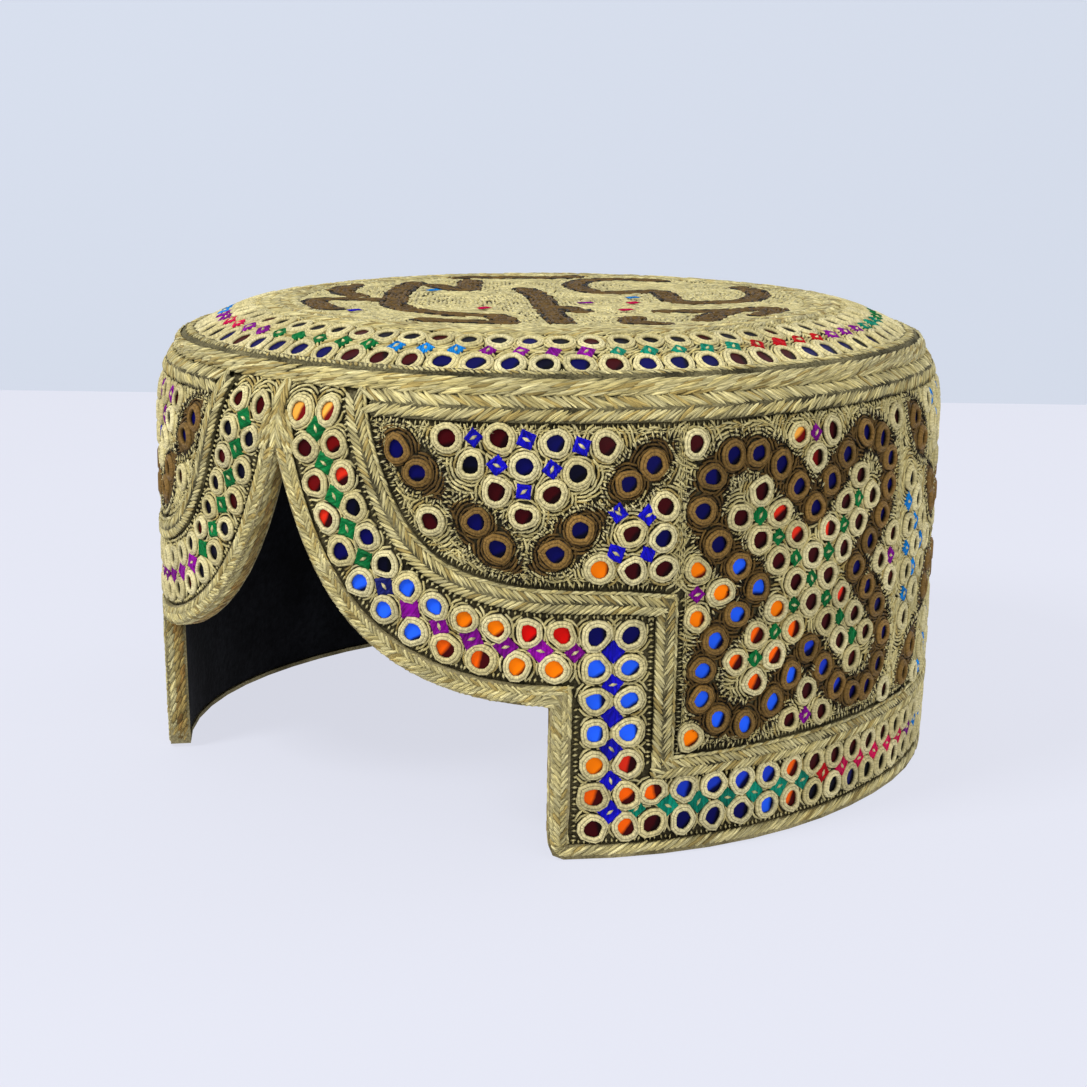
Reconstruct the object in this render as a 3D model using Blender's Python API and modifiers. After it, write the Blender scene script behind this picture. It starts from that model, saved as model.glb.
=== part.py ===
# Sindhi cap: a stiff embroidered cap with a flat top, a rounded shoulder and an upright side wall
# that is cut away in an arch at the front. The front faces -Y, and the cap stands on its hem.

import math

import bmesh
import bpy
import numpy as np
from mathutils import Vector

MM = 0.001

# The wall's plan is a superellipse, a little squarer than an oval
HALF_LENGTH = 94.78 * MM
HALF_WIDTH = 90.12 * MM
SQUARENESS = 2.11
WALL_HEIGHT = 99.4 * MM
TAPER = -0.005

# The wall curls in under the welt, and draws in a little towards the hem
TOP_TUCK = 6.1 * MM
TOP_TUCK_FROM = 76.0 * MM
TOP_TUCK_POWER = 4.0
HEM_TUCK = 1.2 * MM
HEM_TUCK_FROM = 79.0 * MM

# The shoulder rises from the welt to the rim of the flat top, steeper at first
SHOULDER_RISE = 7.6 * MM
SHOULDER_INSET = 25.3 * MM
SHOULDER_ROUND = 0.7

# Cloth and trim
CLOTH = 2.2 * MM
LINING = 1.0 * MM
GAP = 0.3 * MM
BRAID_WIDTH = 4.6 * MM
BRAID_THICKNESS = 1.2 * MM
BRAID_SHOULDER = 0.6
TOP_BRAID_WIDTH = 8.6 * MM
TOP_BRAID_INSET = 23.2 * MM

# The sheets are bent at this many columns round the cap, and at these heights and insets
COLUMNS = 54
GIRTH_SAMPLES = 7201
LEAST_STATION_GAP = 1.5 * MM
MERGE_WITHIN = 0.01 * MM
SMOOTH_UNDER = math.radians(32)
WALL_BENDS = (38 * MM, 80 * MM, 88 * MM, 93 * MM)
LINING_BENDS = (86 * MM,)
SHOULDER_BENDS = (14 * MM,)
SIDE_TOP = 97.4 * MM
LINING_TOP = 97.2 * MM
SEAM_CLEARANCE = 0.1 * MM
CROWN_LINING_EDGE = TOP_TUCK + 0.1 * MM
CROWN_TOP_INSET = SHOULDER_INSET + 0.7 * MM

# Front opening, seen flat: distance round the wall from the front centre, and height.
# The arch is one cubic curve from its point down to the step, where the edge drops to the hem.
ARCH_CONTROLS = (
    (0.0 * MM, 83.1 * MM),
    (7.0 * MM, 62.7 * MM),
    (15.7 * MM, 35.1 * MM),
    (62.2 * MM, 33.5 * MM),
)
ARCH_SAMPLES = 400
ARCH_RUN_ON = 14 * MM
RUN_ON_SAMPLES = 30
STEP_AT = 62.2 * MM
HEM_CORNER = 3.2 * MM
HEM_CORNER_STEPS = 3
STEP_BENDS = 4
ARCH_BENDS = 14

# Edge binding: how far it laps over the outside, at the length along the edge from the arch's point
BINDING_WRAP = 1.0 * MM
BINDING_PROUD = 1.1 * MM
BINDING_PAST_LINING = 0.2 * MM
LAP_AT = (0 * MM, 6 * MM, 30 * MM, 90 * MM, 112 * MM, 124 * MM, 136 * MM)
LAP_WIDTH = (2.8 * MM, 3.2 * MM, 4.0 * MM, 4.3 * MM, 4.3 * MM, 2.9 * MM, 2.8 * MM)
LAP_SPIKE = 6.4 * MM

# Braids on the wall
UPPER_BRAID_Z = 94.2 * MM
UPPER_BRAID_START = 23.6 * MM
LOWER_BRAID_Z = 19.2 * MM
FRAME_BRAID_INSET = 22.3 * MM
FRAME_BRAID_S = 86.2 * MM
FRAME_BRAID_LEVEL = 54.2 * MM
FRAME_BRAID_BENDS = 20

# Mirror field of a front flap: two arch rows and two columns, on an embroidered ground
MIRROR_RADIUS = 3.3 * MM
MIRROR_SIDES = 10
MIRROR_PROUD = 1.5 * MM
MIRROR_SUNK = 0.42 * MM
GROUND_THICKNESS = 0.5 * MM
ARCH_ROWS = (
    # inset from the arch edge, length of the first and of the last mirror along the row
    {"inset": 8.0 * MM, "first": -5.9 * MM, "last": 77.4 * MM},
    {"inset": 15.3 * MM, "first": -4.1 * MM, "last": 69.9 * MM},
)
ARCH_ROW_COUNT = 12
STEP_COLUMNS = (71.5 * MM, 78.6 * MM)
STEP_COLUMN_TOP = 48.4 * MM
STEP_COLUMN_PITCH = 6.97 * MM
STEP_COLUMN_COUNT = 7
GROUND_INSET = 4.7 * MM
GROUND_OUTER_INSET = 19.4 * MM
GROUND_TOP = 95.8 * MM
GROUND_STEP_SIDE = 67.0 * MM
GROUND_BRAID_SIDE = 83.4 * MM
GROUND_FOOT = 3.2 * MM
GROUND_SHELF = 51.3 * MM

# Section of the welt over the top edge: its points on the wall, as height of the place on the wall
# and rise above the cloth, and then those on the shoulder, as run in from the corner and rise
WELT_ON_WALL = ((96.8 * MM, 0.3 * MM), (96.8 * MM, 0.9 * MM), (97.9 * MM, 1.7 * MM))
WELT_ON_SHOULDER = (
    (0.0 * MM, 1.9 * MM),
    (1.4 * MM, 1.6 * MM),
    (2.4 * MM, 0.9 * MM),
    (2.4 * MM, 0.3 * MM),
    (0.0 * MM, 0.3 * MM),
)

# Colours as red, green and blue, then roughness
FINISHES = {
    "gold_thread": ((0.62, 0.53, 0.28), 0.55),
    "gold_cloth": ((0.42, 0.35, 0.18), 0.8),
    "black_lining": ((0.004, 0.005, 0.006), 0.9),
    "mirror_field": ((0.05, 0.07, 0.3), 0.3),
}


def clear_scene():
    for item in list(bpy.data.objects):
        bpy.data.objects.remove(item, do_unlink=True)


def make_collection(name, hidden):
    group = bpy.data.collections.new(name)
    group.hide_render = hidden
    bpy.context.scene.collection.children.link(group)
    return group


def make_material(name):
    colour, roughness = FINISHES[name]
    material = bpy.data.materials.new(name)
    material.use_nodes = True
    shader = material.node_tree.nodes["Principled BSDF"]
    shader.inputs["Base Color"].default_value = (*colour, 1.0)
    shader.inputs["Roughness"].default_value = roughness
    shader.inputs["Metallic"].default_value = 0.0
    material.diffuse_color = (*colour, 1.0)
    return material


def plan_point(angle, inset=0.0):
    """Point of the plan at this angle from the front, pulled in by inset."""
    side, front = math.sin(angle), -math.cos(angle)
    power = 2 / SQUARENESS
    x = (HALF_WIDTH - inset) * math.copysign(abs(side) ** power, side)
    y = (HALF_LENGTH - inset) * math.copysign(abs(front) ** power, front)
    return x, y


def girth_table():
    """Angles from the back round to the back, and the girth length at each from the front centre."""
    angles = np.linspace(-math.pi, math.pi, GIRTH_SAMPLES)
    points = np.array([plan_point(angle) for angle in angles])
    steps = np.hypot(*np.diff(points, axis=0).T)
    lengths = np.concatenate([[0.0], np.cumsum(steps)])
    return angles, lengths - lengths[-1] / 2


ANGLES, GIRTHS = girth_table()
HALF_GIRTH = float(GIRTHS[-1])


def angle_at(s):
    return float(np.interp(s, GIRTHS, ANGLES))


def outward(angle):
    """Level unit vector that points out of the plan at this angle."""
    x, y = plan_point(angle)
    power = SQUARENESS - 1
    out = Vector((
        math.copysign(abs(x / HALF_WIDTH) ** power / HALF_WIDTH, x),
        math.copysign(abs(y / HALF_LENGTH) ** power / HALF_LENGTH, y),
        0.0,
    ))
    return out.normalized()


def girth_scale(z):
    """The wall leans in a little towards the top."""
    return 1 + TAPER * (z / WALL_HEIGHT - 0.5)


def wall_tuck(z):
    """How far the wall is drawn in at the height z."""
    top = min(max((z - TOP_TUCK_FROM) / (WALL_HEIGHT - TOP_TUCK_FROM), 0.0), 1.0)
    hem = min(max(1 - z / HEM_TUCK_FROM, 0.0), 1.0)
    return TOP_TUCK * top**TOP_TUCK_POWER + HEM_TUCK * hem**2


def wall_lean(z):
    """Run in for each unit of rise where the wall curls in under the welt."""
    reach = WALL_HEIGHT - TOP_TUCK_FROM
    top = min(max((z - TOP_TUCK_FROM) / reach, 0.0), 1.0)
    return TOP_TUCK * TOP_TUCK_POWER / reach * top ** (TOP_TUCK_POWER - 1)


def wall_point(s, z, height=0.0):
    """Point at height above the wall's cloth, at distance s round the cap and height z."""
    angle = angle_at(s)
    x, y = plan_point(angle, wall_tuck(z))
    scale = girth_scale(z)
    out = (outward(angle) + Vector((0, 0, wall_lean(z)))).normalized()
    return Vector((x * scale, y * scale, z)) + out * height


def crown_point(s, inset, height=0.0):
    """Point at height above the rounded shoulder, or above the flat top past its rim."""
    angle = angle_at(s)
    x, y = plan_point(angle, inset)
    scale = girth_scale(WALL_HEIGHT)
    run = SHOULDER_INSET - TOP_TUCK
    share = min(max((inset - TOP_TUCK) / run, 0.0), 1.0)
    z = WALL_HEIGHT + SHOULDER_RISE * share * (1 + SHOULDER_ROUND * (1 - share))
    if inset < SHOULDER_INSET:
        slope = SHOULDER_RISE / run * (1 + SHOULDER_ROUND * (1 - 2 * share))
    else:
        slope = 0.0
    up = (outward(angle) * slope + Vector((0, 0, 1))).normalized()
    return Vector((x * scale, y * scale, z)) + up * height


def round_stations(start, end):
    """Distances round the cap from start to end, stopping at each bend of the sheets."""
    pitch = 2 * HALF_GIRTH / COLUMNS
    first, last = math.floor(start / pitch) + 1, math.ceil(end / pitch) - 1
    inner = [k * pitch for k in range(first, last + 1)]
    inner = [s for s in inner if start + LEAST_STATION_GAP < s < end - LEAST_STATION_GAP]
    return [start, *inner, end]


def arch_curve():
    """Points of the arch edge and its unit normals into the cloth, run on straight at both ends."""
    u = np.linspace(0, 1, ARCH_SAMPLES)[:, None]
    a, b, c, d = (np.array(point) for point in ARCH_CONTROLS)
    points = (1 - u) ** 3 * a + 3 * (1 - u) ** 2 * u * b + 3 * (1 - u) * u**2 * c + u**3 * d
    slopes = 3 * (1 - u) ** 2 * (b - a) + 6 * (1 - u) * u * (c - b) + 3 * u**2 * (d - c)
    slopes /= np.linalg.norm(slopes, axis=1)[:, None]
    run = np.linspace(0, ARCH_RUN_ON, RUN_ON_SAMPLES + 1)[1:, None]
    points = np.vstack([points[0] - run[::-1] * slopes[0], points, points[-1] + run * slopes[-1]])
    first, last = slopes[:1], slopes[-1:]
    slopes = np.vstack([
        np.repeat(first, RUN_ON_SAMPLES, 0),
        slopes,
        np.repeat(last, RUN_ON_SAMPLES, 0),
    ])
    normals = np.stack([-slopes[:, 1], slopes[:, 0]], axis=1)
    return points, normals


def arch_line(inset):
    """The arch edge moved into the cloth, and the length along it from its point."""
    points, normals = arch_curve()
    line = points + normals * inset
    lengths = np.concatenate([[0.0], np.cumsum(np.hypot(*np.diff(line, axis=0).T))])
    return line, lengths - ARCH_RUN_ON


def along_arch(inset, wanted):
    """Points at the wanted lengths along the arch edge moved into the cloth."""
    line, lengths = arch_line(inset)
    across = np.interp(wanted, lengths, line[:, 0])
    up = np.interp(wanted, lengths, line[:, 1])
    return [(float(s), float(z)) for s, z in zip(across, up)]


def arch_length_at_height(inset, z):
    """Length along the moved arch edge at which it has come down to the height z."""
    line, lengths = arch_line(inset)
    return float(np.interp(-z, -line[:, 1], lengths))


def arch_length_at_side(inset, s):
    """Length along the moved arch edge at which it has come out to the distance s."""
    line, lengths = arch_line(inset)
    return float(np.interp(s, line[:, 0], lengths))


def edge_line():
    """Right half of the cloth's edge: down the arch, down the step and along the hem to the back."""
    points = along_arch(0.0, np.linspace(0, arch_length_at_side(0.0, STEP_AT), ARCH_BENDS))
    foot, head = HEM_CORNER, points[-1][1]
    for k in range(1, STEP_BENDS):
        points.append((STEP_AT, head + (foot - head) * k / STEP_BENDS))
    for k in range(HEM_CORNER_STEPS):
        turn = math.pi / 2 * k / (HEM_CORNER_STEPS - 1)
        points.append((
            STEP_AT + HEM_CORNER * (1 - math.cos(turn)),
            HEM_CORNER * (1 - math.sin(turn)),
        ))
    points.extend((s, 0.0) for s in round_stations(points[-1][0], HALF_GIRTH)[1:])
    return points


def across_line(line, k):
    """Mitred unit step across a flat line at its point k."""
    ways = [np.array(line[n + 1]) - np.array(line[n]) for n in (k - 1, k) if 0 <= n < len(line) - 1]
    normals = [np.array((-way[1], way[0])) / np.hypot(*way) for way in ways]
    mitre = sum(normals)
    return mitre / np.dot(mitre, normals[0])


def moved_in(points, insets):
    """A half edge line moved into the cloth by an inset for each point, with mitred corners."""
    moved = []
    for k, (s, z) in enumerate(points):
        mitre = across_line(points, k)
        if k == 0:
            mitre = np.array((0.0, 1 / mitre[1]))
        if k + 1 == len(points):
            mitre = np.array((0.0, 1.0))
        moved.append((s + mitre[0] * insets[k], z + mitre[1] * insets[k]))
    return moved


def both_sides(right_half):
    """A closed line round the cap from its right half, which starts and ends on the centre line."""
    left = [(-s, z) for s, z in right_half[-2:0:-1]]
    return right_half + left


def finish_object(name, mesh, material, group):
    item = bpy.data.objects.new(name, mesh)
    mesh.materials.append(material)
    mesh.shade_smooth()
    mesh.set_sharp_from_angle(angle=SMOOTH_UNDER)
    group.objects.link(item)
    return item


def face_out(shape):
    """Turns an open sheet so that its first large face points away from the cap's middle."""
    face = max(shape.faces, key=lambda each: each.calc_area())
    centre = face.calc_center_median()
    if face.normal.dot(centre - Vector((0, 0, WALL_HEIGHT / 3))) < 0:
        bmesh.ops.reverse_faces(shape, faces=shape.faces)


def bent_sheet(name, outline, surface, height, rows, thickness, material, group):
    """A flat pattern piece, creased at the columns, wrapped on the surface and given its thickness."""
    shape = bmesh.new()
    shape.faces.new([shape.verts.new((s, 0.0, z)) for s, z in outline])
    pitch = 2 * HALF_GIRTH / COLUMNS
    half = COLUMNS // 2
    creases = [((k * pitch, 0, 0), (1, 0, 0)) for k in range(-half + 1, half)]
    creases += [((0, 0, z), (0, 0, 1)) for z in rows]
    for point, way in creases:
        everything = shape.verts[:] + shape.edges[:] + shape.faces[:]
        bmesh.ops.bisect_plane(shape, geom=everything, dist=MERGE_WITHIN, plane_co=point, plane_no=way)
    bmesh.ops.triangulate(shape, faces=[face for face in shape.faces if len(face.verts) > 4])
    for vert in shape.verts:
        vert.co = surface(vert.co.x, vert.co.z, height)
    bmesh.ops.remove_doubles(shape, verts=shape.verts, dist=MERGE_WITHIN)
    shape.normal_update()
    face_out(shape)
    mesh = bpy.data.meshes.new(name)
    shape.to_mesh(mesh)
    shape.free()
    item = finish_object(name, mesh, material, group)
    wall = item.modifiers.new("thickness", "SOLIDIFY")
    wall.thickness = thickness
    wall.offset = -1.0
    wall.use_even_offset = True
    return item


def lofted(name, sections, closed, material, group):
    """A band lofted through equal sections, closed on itself or capped at both ends."""
    shape = bmesh.new()
    rings = [[shape.verts.new(point) for point in section] for section in sections]
    size = len(rings[0])
    pairs = list(zip(rings, rings[1:]))
    if closed:
        pairs.append((rings[-1], rings[0]))
    for one, two in pairs:
        for k in range(size):
            shape.faces.new((one[k], one[(k + 1) % size], two[(k + 1) % size], two[k]))
    if not closed:
        shape.faces.new(rings[0][::-1])
        shape.faces.new(rings[-1])
    bmesh.ops.remove_doubles(shape, verts=shape.verts, dist=MERGE_WITHIN)
    bmesh.ops.recalc_face_normals(shape, faces=shape.faces)
    mesh = bpy.data.meshes.new(name)
    shape.to_mesh(mesh)
    shape.free()
    return finish_object(name, mesh, material, group)


def braid_sections(centre_line, width):
    """Sections of a crowned braid laid on the wall along a centre line."""
    crown = GAP + BRAID_THICKNESS
    edge = GAP + BRAID_THICKNESS * BRAID_SHOULDER
    profile = ((-0.5, GAP), (-0.5, edge), (0.0, crown), (0.5, edge), (0.5, GAP))
    sections = []
    for k, (s, z) in enumerate(centre_line):
        across = across_line(centre_line, k) * width
        sections.append([
            wall_point(s + across[0] * side, z + across[1] * side, height)
            for side, height in profile
        ])
    return sections


def round_back_braid(name, right_half, material, group):
    """A braid along the right half line to the back seam, and on along its mirror image."""
    right = braid_sections(right_half, BRAID_WIDTH)
    left = [[Vector((-point.x, point.y, point.z)) for point in section] for section in right[-2::-1]]
    return lofted(name, right + left, False, material, group)


def make_side_band(name, top, height, rows, thickness, material, group):
    """The upright wall, or its lining, with the arch and the step cut away at the front."""
    edge = edge_line()
    inset = BINDING_WRAP + GAP
    half = moved_in(edge, [inset] * len(edge))
    half = [(s, z) for s, z in half if s < HALF_GIRTH - SEAM_CLEARANCE]
    right = half + [(HALF_GIRTH, inset), (HALF_GIRTH, top)]
    outline = right + [(-s, z) for s, z in right[:0:-1]]
    return bent_sheet(name, outline, wall_point, height, rows, thickness, material, group)


def make_crown_shoulder(material, group):
    outline = (
        (-HALF_GIRTH, TOP_TUCK),
        (HALF_GIRTH, TOP_TUCK),
        (HALF_GIRTH, SHOULDER_INSET - GAP),
        (-HALF_GIRTH, SHOULDER_INSET - GAP),
    )
    return bent_sheet(
        "crown_shoulder", outline, crown_point, 0.0, SHOULDER_BENDS, CLOTH, material, group
    )


def closed_dish(name, insets, height, thickness, material, group):
    """A sheet across the crown: rings at these insets, and one flat face inside the last."""
    shape = bmesh.new()
    stations = round_stations(-HALF_GIRTH, HALF_GIRTH)[:-1]
    rings = [[shape.verts.new(crown_point(s, inset, height)) for s in stations] for inset in insets]
    for one, two in zip(rings, rings[1:]):
        for k in range(len(one)):
            n = (k + 1) % len(one)
            shape.faces.new((one[k], one[n], two[n], two[k]))
    shape.faces.new(rings[-1])
    shape.normal_update()
    face_out(shape)
    mesh = bpy.data.meshes.new(name)
    shape.to_mesh(mesh)
    shape.free()
    item = finish_object(name, mesh, material, group)
    wall = item.modifiers.new("thickness", "SOLIDIFY")
    wall.thickness = thickness
    wall.offset = -1.0
    wall.use_even_offset = True
    return item


def make_edge_binding(material, group):
    """One folded strip that covers the raw edges and laps over the outside, all the way round."""
    edge = edge_line()
    lengths = np.concatenate([[0.0], np.cumsum(np.hypot(*np.diff(np.array(edge), axis=0).T))])
    laps = [float(lap) for lap in np.interp(lengths, LAP_AT, LAP_WIDTH)]
    wrapped = moved_in(edge, [BINDING_WRAP] * len(edge))
    lapped = moved_in(edge, laps)
    lapped[0] = (0.0, edge[0][1] + LAP_SPIKE)
    inner = -(CLOTH + GAP + LINING + BINDING_PAST_LINING)
    rails = [both_sides(line) for line in (edge, wrapped, lapped)]
    sections = []
    for outer_edge, wrap, lap in zip(*rails):
        sections.append([
            wall_point(*outer_edge, inner),
            wall_point(*outer_edge, BINDING_PROUD),
            wall_point(*lap, BINDING_PROUD),
            wall_point(*lap, GAP),
            wall_point(*wrap, GAP),
            wall_point(*wrap, inner),
        ])
    return lofted("edge_binding", sections, True, material, group)


def make_crown_welt(material, group):
    """Thick braid over the corner where the shoulder meets the wall."""
    sections = []
    for s in round_stations(-HALF_GIRTH, HALF_GIRTH)[:-1]:
        lower = [wall_point(s, z, rise) for z, rise in WELT_ON_WALL]
        upper = [crown_point(s, TOP_TUCK + run, rise) for run, rise in WELT_ON_SHOULDER]
        sections.append(lower + upper)
    return lofted("crown_welt", sections, True, material, group)


def make_top_braid(material, group):
    """Wide flat braid over the rim where the shoulder meets the flat top."""
    outer, rim, inner = TOP_BRAID_INSET, SHOULDER_INSET, TOP_BRAID_INSET + TOP_BRAID_WIDTH
    crown = GAP + BRAID_THICKNESS
    edge = GAP + BRAID_THICKNESS * BRAID_SHOULDER
    section = (
        (outer, GAP),
        (outer, edge),
        (rim, crown),
        ((rim + inner) / 2, crown),
        (inner, edge),
        (inner, GAP),
        (rim, GAP),
    )
    sections = []
    for s in round_stations(-HALF_GIRTH, HALF_GIRTH)[:-1]:
        sections.append([crown_point(s, inset, height) for inset, height in section])
    return lofted("top_braid", sections, True, material, group)


def make_upper_braid(material, group):
    """Braid under the welt, from one front frame round the back to the other."""
    line = [(s, UPPER_BRAID_Z) for s in round_stations(UPPER_BRAID_START, HALF_GIRTH)]
    return round_back_braid("upper_braid", line, material, group)


def make_frame_braid(material, group):
    """Braid that frames both front panels and then runs along the hem round the back."""
    start = arch_length_at_height(FRAME_BRAID_INSET, GROUND_TOP)
    level = arch_length_at_height(FRAME_BRAID_INSET, FRAME_BRAID_LEVEL)
    line = along_arch(FRAME_BRAID_INSET, np.linspace(start, level, FRAME_BRAID_BENDS))
    middle = (FRAME_BRAID_LEVEL + LOWER_BRAID_Z) / 2
    line += [(s, FRAME_BRAID_LEVEL) for s in round_stations(line[-1][0], FRAME_BRAID_S)[1:]]
    line.append((FRAME_BRAID_S, middle))
    line += [(s, LOWER_BRAID_Z) for s in round_stations(FRAME_BRAID_S, HALF_GIRTH)]
    return round_back_braid("frame_braid", line, material, group)


def flap_outline():
    """Flat outline of the ground under a flap's mirrors, clear of the binding and the braid."""
    near_start = arch_length_at_height(GROUND_INSET, GROUND_TOP)
    near_end = arch_length_at_side(GROUND_INSET, GROUND_STEP_SIDE)
    near = along_arch(GROUND_INSET, np.linspace(near_start, near_end, ARCH_BENDS))
    far_start = arch_length_at_height(GROUND_OUTER_INSET, GROUND_TOP)
    far_end = arch_length_at_height(GROUND_OUTER_INSET, GROUND_SHELF)
    far = along_arch(GROUND_OUTER_INSET, np.linspace(far_start, far_end, ARCH_BENDS))
    foot = [
        (GROUND_STEP_SIDE, GROUND_FOOT),
        (GROUND_BRAID_SIDE, GROUND_FOOT),
        (GROUND_BRAID_SIDE, GROUND_SHELF),
    ]
    return near + foot + far[::-1]


def flap_mirror_centres():
    centres = []
    for row in ARCH_ROWS:
        centres += along_arch(row["inset"], np.linspace(row["first"], row["last"], ARCH_ROW_COUNT))
    for s in STEP_COLUMNS:
        centres += [(s, STEP_COLUMN_TOP - k * STEP_COLUMN_PITCH) for k in range(STEP_COLUMN_COUNT)]
    return centres


def make_flap_mirrors(name, side, material, group, helpers):
    """The mirrors of one flap, set in the embroidered ground that carries them, as one body."""
    outline = [(side * s, z) for s, z in flap_outline()]
    height = GAP + GROUND_THICKNESS
    item = bent_sheet(
        name, outline, wall_point, height, WALL_BENDS, GROUND_THICKNESS, material, group
    )
    discs = bmesh.new()
    for s, z in flap_mirror_centres():
        made = bmesh.ops.create_cone(
            discs,
            cap_ends=True,
            segments=MIRROR_SIDES,
            radius1=MIRROR_RADIUS,
            radius2=MIRROR_RADIUS,
            depth=1.0,
        )
        for vert in made["verts"]:
            rise = MIRROR_PROUD if vert.co.z > 0 else MIRROR_SUNK
            vert.co = wall_point(side * (s + vert.co.x), z + vert.co.y, rise)
    bmesh.ops.recalc_face_normals(discs, faces=discs.faces)
    mesh = bpy.data.meshes.new(name + "_discs")
    discs.to_mesh(mesh)
    discs.free()
    joined = finish_object(name + "_discs", mesh, material, helpers)
    joined.hide_render = True
    joined.display_type = "WIRE"
    union = item.modifiers.new("mirrors", "BOOLEAN")
    union.operation = "UNION"
    union.solver = "EXACT"
    union.object = joined
    return item


def main():
    clear_scene()
    cap = make_collection("sindhi_cap", False)
    helpers = make_collection("mirror_discs_to_join", True)
    thread, cloth, black, mirrors = (make_material(name) for name in FINISHES)
    make_side_band("side_band", SIDE_TOP, 0.0, WALL_BENDS, CLOTH, cloth, cap)
    make_side_band("side_lining", LINING_TOP, -(CLOTH + GAP), LINING_BENDS, LINING, black, cap)
    make_crown_shoulder(cloth, cap)
    closed_dish("crown_top", (CROWN_TOP_INSET,), 0.0, CLOTH, cloth, cap)
    lining_insets = (CROWN_LINING_EDGE, SHOULDER_INSET)
    closed_dish("crown_lining", lining_insets, -(CLOTH + GAP), LINING, black, cap)
    make_edge_binding(thread, cap)
    make_crown_welt(thread, cap)
    make_upper_braid(thread, cap)
    make_frame_braid(thread, cap)
    make_top_braid(thread, cap)
    make_flap_mirrors("right_flap_mirrors", 1, mirrors, cap, helpers)
    make_flap_mirrors("left_flap_mirrors", -1, mirrors, cap, helpers)


main()
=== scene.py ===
import math

import bpy
import numpy as np
from mathutils import Matrix, Vector


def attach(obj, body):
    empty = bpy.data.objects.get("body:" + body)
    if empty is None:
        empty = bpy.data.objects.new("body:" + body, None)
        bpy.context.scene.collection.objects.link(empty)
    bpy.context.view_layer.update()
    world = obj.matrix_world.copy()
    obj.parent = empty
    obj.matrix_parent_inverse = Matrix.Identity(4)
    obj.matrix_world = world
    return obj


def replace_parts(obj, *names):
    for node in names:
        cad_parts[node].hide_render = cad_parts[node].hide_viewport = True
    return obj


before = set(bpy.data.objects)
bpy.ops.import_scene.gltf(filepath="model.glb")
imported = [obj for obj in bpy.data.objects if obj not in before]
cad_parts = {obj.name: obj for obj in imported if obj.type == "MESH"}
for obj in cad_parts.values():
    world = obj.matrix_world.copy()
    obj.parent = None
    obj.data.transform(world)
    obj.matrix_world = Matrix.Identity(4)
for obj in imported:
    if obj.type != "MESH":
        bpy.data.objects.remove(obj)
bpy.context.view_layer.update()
mm = 0.001
rng = np.random.default_rng(11)
fullTurn = 6.28

# Flat places on the cap are in mm: round the wall from the front centre, and up from the hem
capForm = {
    "halfWidth": 90.12,
    "halfLength": 94.78,
    "squareness": 2.11,
    "wallHeight": 99.4,
    "taper": -0.005,
    "topTuck": 6.1,
    "topTuckFrom": 76.0,
    "topTuckPower": 4,
    "hemTuck": 1.2,
    "hemTuckBelow": 79.0,
    "shoulderRise": 7.6,
    "shoulderInset": 25.3,
    "shoulderRound": 0.7,
    "girthSamples": 7201,
}
halfWidth, halfLength, wallHeight = (capForm[key] for key in ("halfWidth", "halfLength", "wallHeight"))


def girthScale(z):
    return 1 + capForm["taper"] * (z / wallHeight - 0.5)


def topShare(z):
    return np.clip((z - capForm["topTuckFrom"]) / (wallHeight - capForm["topTuckFrom"]), 0, 1)


def tuckAt(z):
    hem = np.clip(1 - z / capForm["hemTuckBelow"], 0, 1)
    return capForm["topTuck"] * topShare(z) ** capForm["topTuckPower"] + capForm["hemTuck"] * hem**2


def leanAt(z):
    power, reach = capForm["topTuckPower"], wallHeight - capForm["topTuckFrom"]
    return capForm["topTuck"] * power / reach * topShare(z) ** (power - 1)


def planAt(angle, inset=0.0):
    side, front = np.sin(angle), -np.cos(angle)
    power = 2 / capForm["squareness"]
    x = (halfWidth - inset) * np.sign(side) * np.abs(side) ** power
    y = (halfLength - inset) * np.sign(front) * np.abs(front) ** power
    return x, y


angleTable = np.linspace(-math.pi, math.pi, capForm["girthSamples"])
girthTable = np.concatenate([[0], np.cumsum(np.hypot(*np.diff(np.array(planAt(angleTable)), axis=1)))])
halfGirth = girthTable[-1] / 2
girthTable = girthTable - halfGirth
topScale = girthScale(wallHeight)


def wrapped(s):
    return (s + halfGirth) % (2 * halfGirth) - halfGirth


def angleAt(s):
    return np.interp(wrapped(s), girthTable, angleTable)


def outwardAt(angle):
    x, y = planAt(angle)
    power = capForm["squareness"] - 1
    nx = np.sign(x) * np.abs(x / halfWidth) ** power / halfWidth
    ny = np.sign(y) * np.abs(y / halfLength) ** power / halfLength
    size = np.hypot(nx, ny)
    return nx / size, ny / size


def wallSurface(s, z, h):
    angle = angleAt(s)
    x, y = planAt(angle, tuckAt(z))
    nx, ny = outwardAt(angle)
    scale, lean = girthScale(z), leanAt(z)
    away = h / np.hypot(1, lean)
    return np.stack([x * scale + nx * away, y * scale + ny * away, z + lean * away], axis=-1) * mm


def crownSurface(s, inset, h):
    angle = angleAt(s)
    x, y = planAt(angle, inset)
    nx, ny = outwardAt(angle)
    run = capForm["shoulderInset"] - capForm["topTuck"]
    share = np.clip((inset - capForm["topTuck"]) / run, 0, 1)
    rounding = capForm["shoulderRound"]
    rise = capForm["shoulderRise"] * share * (1 + rounding * (1 - share))
    slope = capForm["shoulderRise"] / run * (1 + rounding * (1 - 2 * share)) * (share < 1)
    away = h / np.hypot(1, slope)
    out = slope * away
    placed = [x * topScale + nx * out, y * topScale + ny * out, wallHeight + rise + away]
    return np.stack(placed, axis=-1) * mm


def topSurface(x, y, h):
    return np.stack([x, y, wallHeight + capForm["shoulderRise"] + h + 0 * x], axis=-1) * mm


def crownSpread(inset):
    # How much longer a step round the wall's line is than the same step at an inset
    return 1 / (1 - np.asarray(inset, float) / (halfWidth + halfLength) * 2)


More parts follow.
